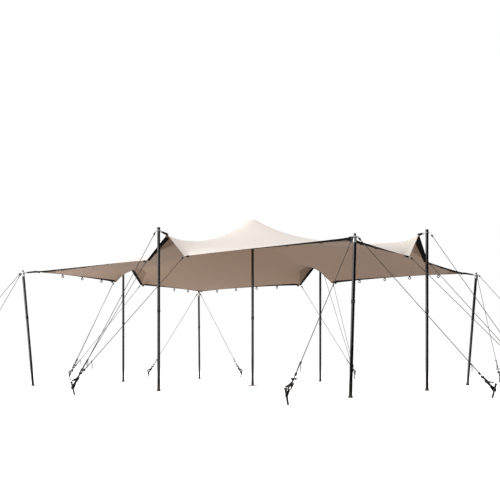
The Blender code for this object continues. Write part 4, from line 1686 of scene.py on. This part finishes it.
@dataclass
class Anchor:
    """A stake, with the strap and ratchet that take the ropes."""

    name: str
    foot: Vector
    pull_to: Vector
    lean: float = 0.26
    height: float = 0.27
    rod: float = 0.017
    head: float = 0.027
    head_height: float = 0.018
    strap_height: float = 0.15
    strap_length: float = 0.10
    strap_width: float = 0.035
    ratchet_length: float = 0.20
    ratchet_width: float = 0.06
    bar_radius: float = 0.009
    bar_length: float = 0.11

    def stake(self, form: Form) -> Vector:
        """The stake, cut level at the ground.

        Returns:
            The way that it leans.
        """
        pull = self.pull_to - self.foot
        away = Vector((-pull.x, -pull.y, 0.0)).normalized()
        lean = away * math.sin(self.lean) + UP * math.cos(self.lean)
        carrier = Form()
        top = self.height
        carrier.turned(
            [
                (0.0, top),
                (self.head * 0.8, top - 0.001),
                (self.head, top - 0.005),
                (self.head, top - self.head_height + 0.003),
                (self.head - 0.003, top - self.head_height),
                (self.rod, top - self.head_height - 0.004),
                (self.rod, top - 0.055),
                (self.rod + 0.003, top - 0.058),
                (self.rod + 0.003, top - 0.066),
                (self.rod, top - 0.069),
                (self.rod, -0.02),
                (0.0, -0.02),
            ],
            FORGED, placed(self.foot, lean), 28,
        )
        part = bmesh.new()
        part.from_mesh(Pole.trimmed(carrier))
        form.take(part, FORGED)
        return lean

    def strap(self, form: Form, place: Matrix) -> None:
        """A webbing loop round the stake that runs to the ratchet."""
        around = self.rod + 0.004
        reach = self.rod + self.strap_length
        turns = [math.radians(angle) for angle in range(70, 291, 20)]
        bend = [Vector((0.0, around * math.sin(turn), around * math.cos(turn))) for turn in turns]
        top = [Vector((0.0, around + (0.004 - around) * k / 6.0, around * 0.3 + (reach - around * 0.3) * k / 6.0)) for k in range(1, 7)]
        low = [Vector((0.0, -point.y, point.z)) for point in top]
        path = list(reversed(top)) + bend + low
        section = flat_section(self.strap_width, 0.003)
        form.swept(section, path, TAPE, place, level=Vector((1.0, 0.0, 0.0)))

    def ratchet(self, form: Form, place: Matrix) -> None:
        """Side plates, spool with wound webbing, toothed wheels and handle."""
        start = self.rod + self.strap_length
        half = self.ratchet_width / 2.0 - 0.004
        on_side = Matrix(((0.0, 0.0, 1.0, 0.0), (0.0, 1.0, 0.0, 0.0), (1.0, 0.0, 0.0, 0.0), (0.0, 0.0, 0.0, 1.0)))
        frame_outline = [
            (start - 0.012, -0.010),
            (start + 0.10, -0.020),
            (start + 0.125, -0.010),
            (start + 0.125, 0.012),
            (start + 0.10, 0.022),
            (start - 0.005, 0.012),
            (start - 0.012, 0.004),
        ]
        across = Matrix.Rotation(math.pi / 2.0, 4, "Y")
        for side in (-1.0, 1.0):
            form.plate(frame_outline, 0.004, FORGED, place @ Matrix.Translation((side * half, 0.0, 0.0)) @ on_side)
            wheel = place @ Matrix.Translation((side * (half - 0.006), 0.0, start + 0.095)) @ across
            self.wheel(form, wheel)
            arm = place @ Matrix.Translation((side * (half + 0.005), 0.0, start + 0.095))
            tilt = Matrix.Rotation(0.62, 4, "X")
            form.block((0.004, 0.022, 0.13), FORGED, arm @ tilt @ Matrix.Translation((0.0, 0.0, -0.055)), 0.0015)
        spool = place @ Matrix.Translation((0.0, 0.0, start + 0.095)) @ across
        form.turned([(0.0, half + 0.014), (0.007, half + 0.013), (0.008, half + 0.010), (0.008, -half - 0.010), (0.007, -half - 0.013), (0.0, -half - 0.014)], STEEL, spool, 20)
        wound = []
        for k in range(49):
            angle = 2.0 * math.pi * k / 16.0
            radius = 0.009 + 0.0028 * k / 16.0
            wound.append(Vector((0.0, radius * math.sin(angle), start + 0.095 + radius * math.cos(angle))))
        form.swept(flat_section(self.strap_width, 0.0022), wound, TAPE, place, level=Vector((1.0, 0.0, 0.0)))
        bolt = place @ Matrix.Translation((0.0, 0.0, start)) @ across
        form.turned([(0.0, half + 0.009), (0.009, half + 0.009), (0.009, half + 0.003), (0.005, half + 0.003), (0.005, -half - 0.003), (0.009, -half - 0.003), (0.009, -half - 0.009), (0.0, -half - 0.009)], STEEL, bolt, 6)
        grip = place @ Matrix.Translation((0.0, 0.0, start + 0.095)) @ Matrix.Rotation(0.62, 4, "X")
        handle = grip @ Matrix.Translation((0.0, 0.0, -0.118)) @ across
        form.turned([(0.0, half + 0.010), (0.009, half + 0.009), (0.011, half), (0.011, -half), (0.009, -half - 0.009), (0.0, -half - 0.010)], RUBBER, handle, 18)
        lead = [Vector((0.0, 0.013 - 0.013 * k / 5.0, start + 0.100 + (self.ratchet_length - 0.104) * k / 5.0)) for k in range(6)]
        form.swept(flat_section(self.strap_width, 0.003), lead, TAPE, place, level=Vector((1.0, 0.0, 0.0)))

    @staticmethod
    def wheel(form: Form, place: Matrix) -> None:
        """A toothed wheel of the ratchet."""
        teeth = 13
        outline = []
        for k in range(teeth):
            for share, radius in ((0.0, 0.017), (0.62, 0.024), (0.66, 0.024)):
                angle = 2.0 * math.pi * (k + share) / teeth
                outline.append((radius * math.cos(angle), radius * math.sin(angle)))
        form.plate(outline, 0.003, STEEL, place, 0.0)

    def bar(self, form: Form, place: Matrix) -> None:
        """The bar that takes the ropes, with its end stops."""
        at = self.rod + self.strap_length + self.ratchet_length
        across = place @ Matrix.Translation((0.0, 0.0, at)) @ Matrix.Rotation(math.pi / 2.0, 4, "Y")
        half = self.bar_length / 2.0
        form.turned(
            [
                (0.0, half),
                (self.bar_radius + 0.002, half - 0.002),
                (self.bar_radius + 0.002, half - 0.007),
                (self.bar_radius, half - 0.009),
                (self.bar_radius, -half + 0.009),
                (self.bar_radius + 0.002, -half + 0.007),
                (self.bar_radius + 0.002, -half + 0.002),
                (0.0, -half),
            ],
            FORGED, across, 24,
        )
        loop = place @ Matrix.Translation((0.0, 0.0, at)) @ Matrix.Rotation(math.pi / 2.0, 4, "Y")
        for k in (-1.0, 0.0, 1.0):
            form.ring(self.bar_radius + 0.006, 0.0055, ROPE, loop @ Matrix.Translation((0.0, 0.0, k * 0.034)), 20)

    def build(self) -> bpy.types.Object:
        """Make the anchor.

        Returns:
            The piece.
        """
        form = Form()
        lean = self.stake(form)
        knot = self.foot + lean * self.strap_height
        place = placed(knot, self.pull_to - knot)
        self.strap(form, place)
        self.ratchet(form, place)
        self.bar(form, place)
        return form.finished(f"{self.name}_dressed", Slot.ANCHOR, [self.name])


# The studio


@dataclass
class Studio:
    """Floor, lights, background and camera."""

    camera_place: tuple[float, float, float] = (10.095, -14.587, 0.742)
    camera_turn: float = 34.9
    lens: float = 50.15
    lift: float = 0.2129
    ambient: float = 0.06
    floor_size: float = 900.0
    overhead_height: float = 14.0
    overhead_size: tuple[float, float] = (24.0, 24.0)
    overhead_radiance: float = 1.40
    wall_distance: float = 15.0
    wall_height: float = 4.0
    wall_size: tuple[float, float] = (20.0, 8.0)
    front_wall_turn: float = 60.0
    front_wall_radiance: float = 4.2
    rear_wall_turn: float = 135.0
    rear_wall_radiance: float = 1.5
    low_panel_place: tuple[float, float, float] = (-8.5, -2.0, 0.3)
    low_panel_size: tuple[float, float] = (5.0, 8.0)
    low_panel_radiance: float = 2.4

    def floor(self) -> None:
        """A plain white floor."""
        shape = bmesh.new()
        bmesh.ops.create_grid(shape, x_segments=1, y_segments=1, size=self.floor_size / 2.0)
        mesh = bpy.data.meshes.new("floor")
        shape.to_mesh(mesh)
        shape.free()
        mesh.materials.append(FLOOR.material())
        floor = bpy.data.objects.new("floor", mesh)
        floor.location = (0.0, 0.0, -0.002)
        bpy.context.scene.collection.objects.link(floor)

    def background(self) -> None:
        """A surround that is white behind the tent and lights it only faintly."""
        world = bpy.data.worlds.new("surround")
        world.use_nodes = True
        nodes, links = world.node_tree.nodes, world.node_tree.links
        seen = nodes.new("ShaderNodeLightPath").outputs["Is Camera Ray"]
        level = nodes.new("ShaderNodeMapRange")
        level.inputs["To Min"].default_value = self.ambient
        level.inputs["To Max"].default_value = 1.0
        shader = nodes["Background"]
        shader.inputs["Color"].default_value = (1.0, 1.0, 1.0, 1.0)
        links.new(seen, level.inputs["Value"])
        links.new(level.outputs["Result"], shader.inputs["Strength"])
        bpy.context.scene.world = world
        bpy.context.scene.view_settings.view_transform = "Standard"

    def light(self, name: str, place: Vector, size: tuple[float, float], radiance: float) -> bpy.types.Object:
        """A soft panel of light that faces the middle of the tent.

        Args:
            name: The light's name.
            place: Its middle.
            size: Its width and height.
            radiance: How bright its face is, where 1 is white.

        Returns:
            The light.
        """
        data = bpy.data.lights.new(name, "AREA")
        data.shape = "RECTANGLE"
        data.size, data.size_y = size
        data.energy = radiance * math.pi * size[0] * size[1]
        lamp = bpy.data.objects.new(name, data)
        lamp.location = place
        level = Vector((0.0, 0.0, min(place.z, self.wall_height)))
        lamp.rotation_euler = (level - place).to_track_quat("-Z", "Y").to_euler()
        lamp.visible_camera = False
        bpy.context.scene.collection.objects.link(lamp)
        return lamp

    def wall(self, turn: float) -> Vector:
        """Middle of a wall of light, turned left from the camera's side by some degrees."""
        bearing = math.radians(self.camera_turn - 90.0 - turn)
        return Vector((math.cos(bearing), math.sin(bearing), 0.0)) * self.wall_distance + UP * self.wall_height

    def camera(self) -> None:
        """The camera, level, with the lens shifted up."""
        data = bpy.data.cameras.new("camera")
        data.lens = self.lens
        data.shift_y = self.lift
        data.clip_end = 500.0
        camera = bpy.data.objects.new("camera", data)
        camera.location = self.camera_place
        camera.rotation_euler = (math.pi / 2.0, 0.0, math.radians(self.camera_turn))
        bpy.context.scene.collection.objects.link(camera)
        bpy.context.scene.camera = camera

    def build(self) -> None:
        """Set the studio up."""
        self.camera()
        self.floor()
        self.background()
        self.light("overhead_panel", UP * self.overhead_height, self.overhead_size, self.overhead_radiance)
        self.light("front_wall", self.wall(self.front_wall_turn), self.wall_size, self.front_wall_radiance)
        rear = self.light("rear_wall", self.wall(self.rear_wall_turn), self.wall_size, self.rear_wall_radiance)
        rear.visible_glossy = False
        low = self.light("low_panel", Vector(self.low_panel_place), self.low_panel_size, self.low_panel_radiance)
        low.visible_glossy = False
        low.rotation_euler = (math.pi, 0.0, 0.0)


@dataclass
class Tent:
    """The whole tent, in the order that it goes up."""

    solids: Solids
    link_drop: float = 0.075
    corner_rope_link: float = 0.004
    side_rope_link: float = 0.060
    corner_finger: float = 0.050
    side_finger: float = 0.070
    sleeve_radius: float = 0.036
    tube_radius: float = 0.032

    def net(self) -> Net:
        """The canopy's net over the poles' plan."""
        corner = self.solids.foot("back_right")
        canopy = self.solids.points("canopy")
        return Net(2.0 * corner.x, 2.0 * corner.y, float(canopy[:, 2].max()))

    def ring_centre(self, name: str) -> Vector:
        """Where the link ring sits on a pole."""
        foot, head = self.solids.foot(name), self.solids.head(name)
        return head - (head - foot).normalized() * self.link_drop

    def guys(self, name: str) -> None:
        """The ropes and anchors of one pole."""
        centre = self.ring_centre(name)
        if name in CORNERS:
            groups = {f"anchor_{name}_{k}": [f"guy_{name}_{k}"] for k in (1, 2)}
        else:
            ropes = [f"guy_{name}_top", f"guy_{name}_eave_1", f"guy_{name}_eave_2"]
            groups = {f"anchor_{name}": ropes}
        for anchor, ropes in groups.items():
            Anchor(anchor, self.solids.ground(anchor), centre).build()
            for rope in ropes:
                upper, lower = self.solids.rope_ends(rope)
                link_length = self.corner_rope_link if name in CORNERS else self.side_rope_link
                Guy(rope, upper, lower, "eave" not in rope, link_length).build()

    def build(self) -> None:
        """Make every piece."""
        net = self.net()
        CentrePole(net).build()
        canopy = Canopy(net)
        canopy.build()
        for name, (sx, sy) in {**CORNERS, **SIDES}.items():
            foot, head = self.solids.foot(name), self.solids.head(name)
            Pole(name, foot, head).build()
            tip, _ = canopy.at_edge(sx * net.x_lines[-1], sy * net.y_lines[-1])
            held, width = (
                (self.sleeve_radius, self.corner_finger) if name in CORNERS else (self.tube_radius, self.side_finger)
            )
            Link(name, self.ring_centre(name), (head - foot).normalized(), tip, held, width).build()
            self.guys(name)


def main() -> None:
    """Dress the tent."""
    logging.basicConfig(level=logging.INFO, format="%(name)s: %(message)s")
    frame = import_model()
    Studio().build()
    Tent(Solids(frame)).build()


if __name__ == "__main__":
    main()
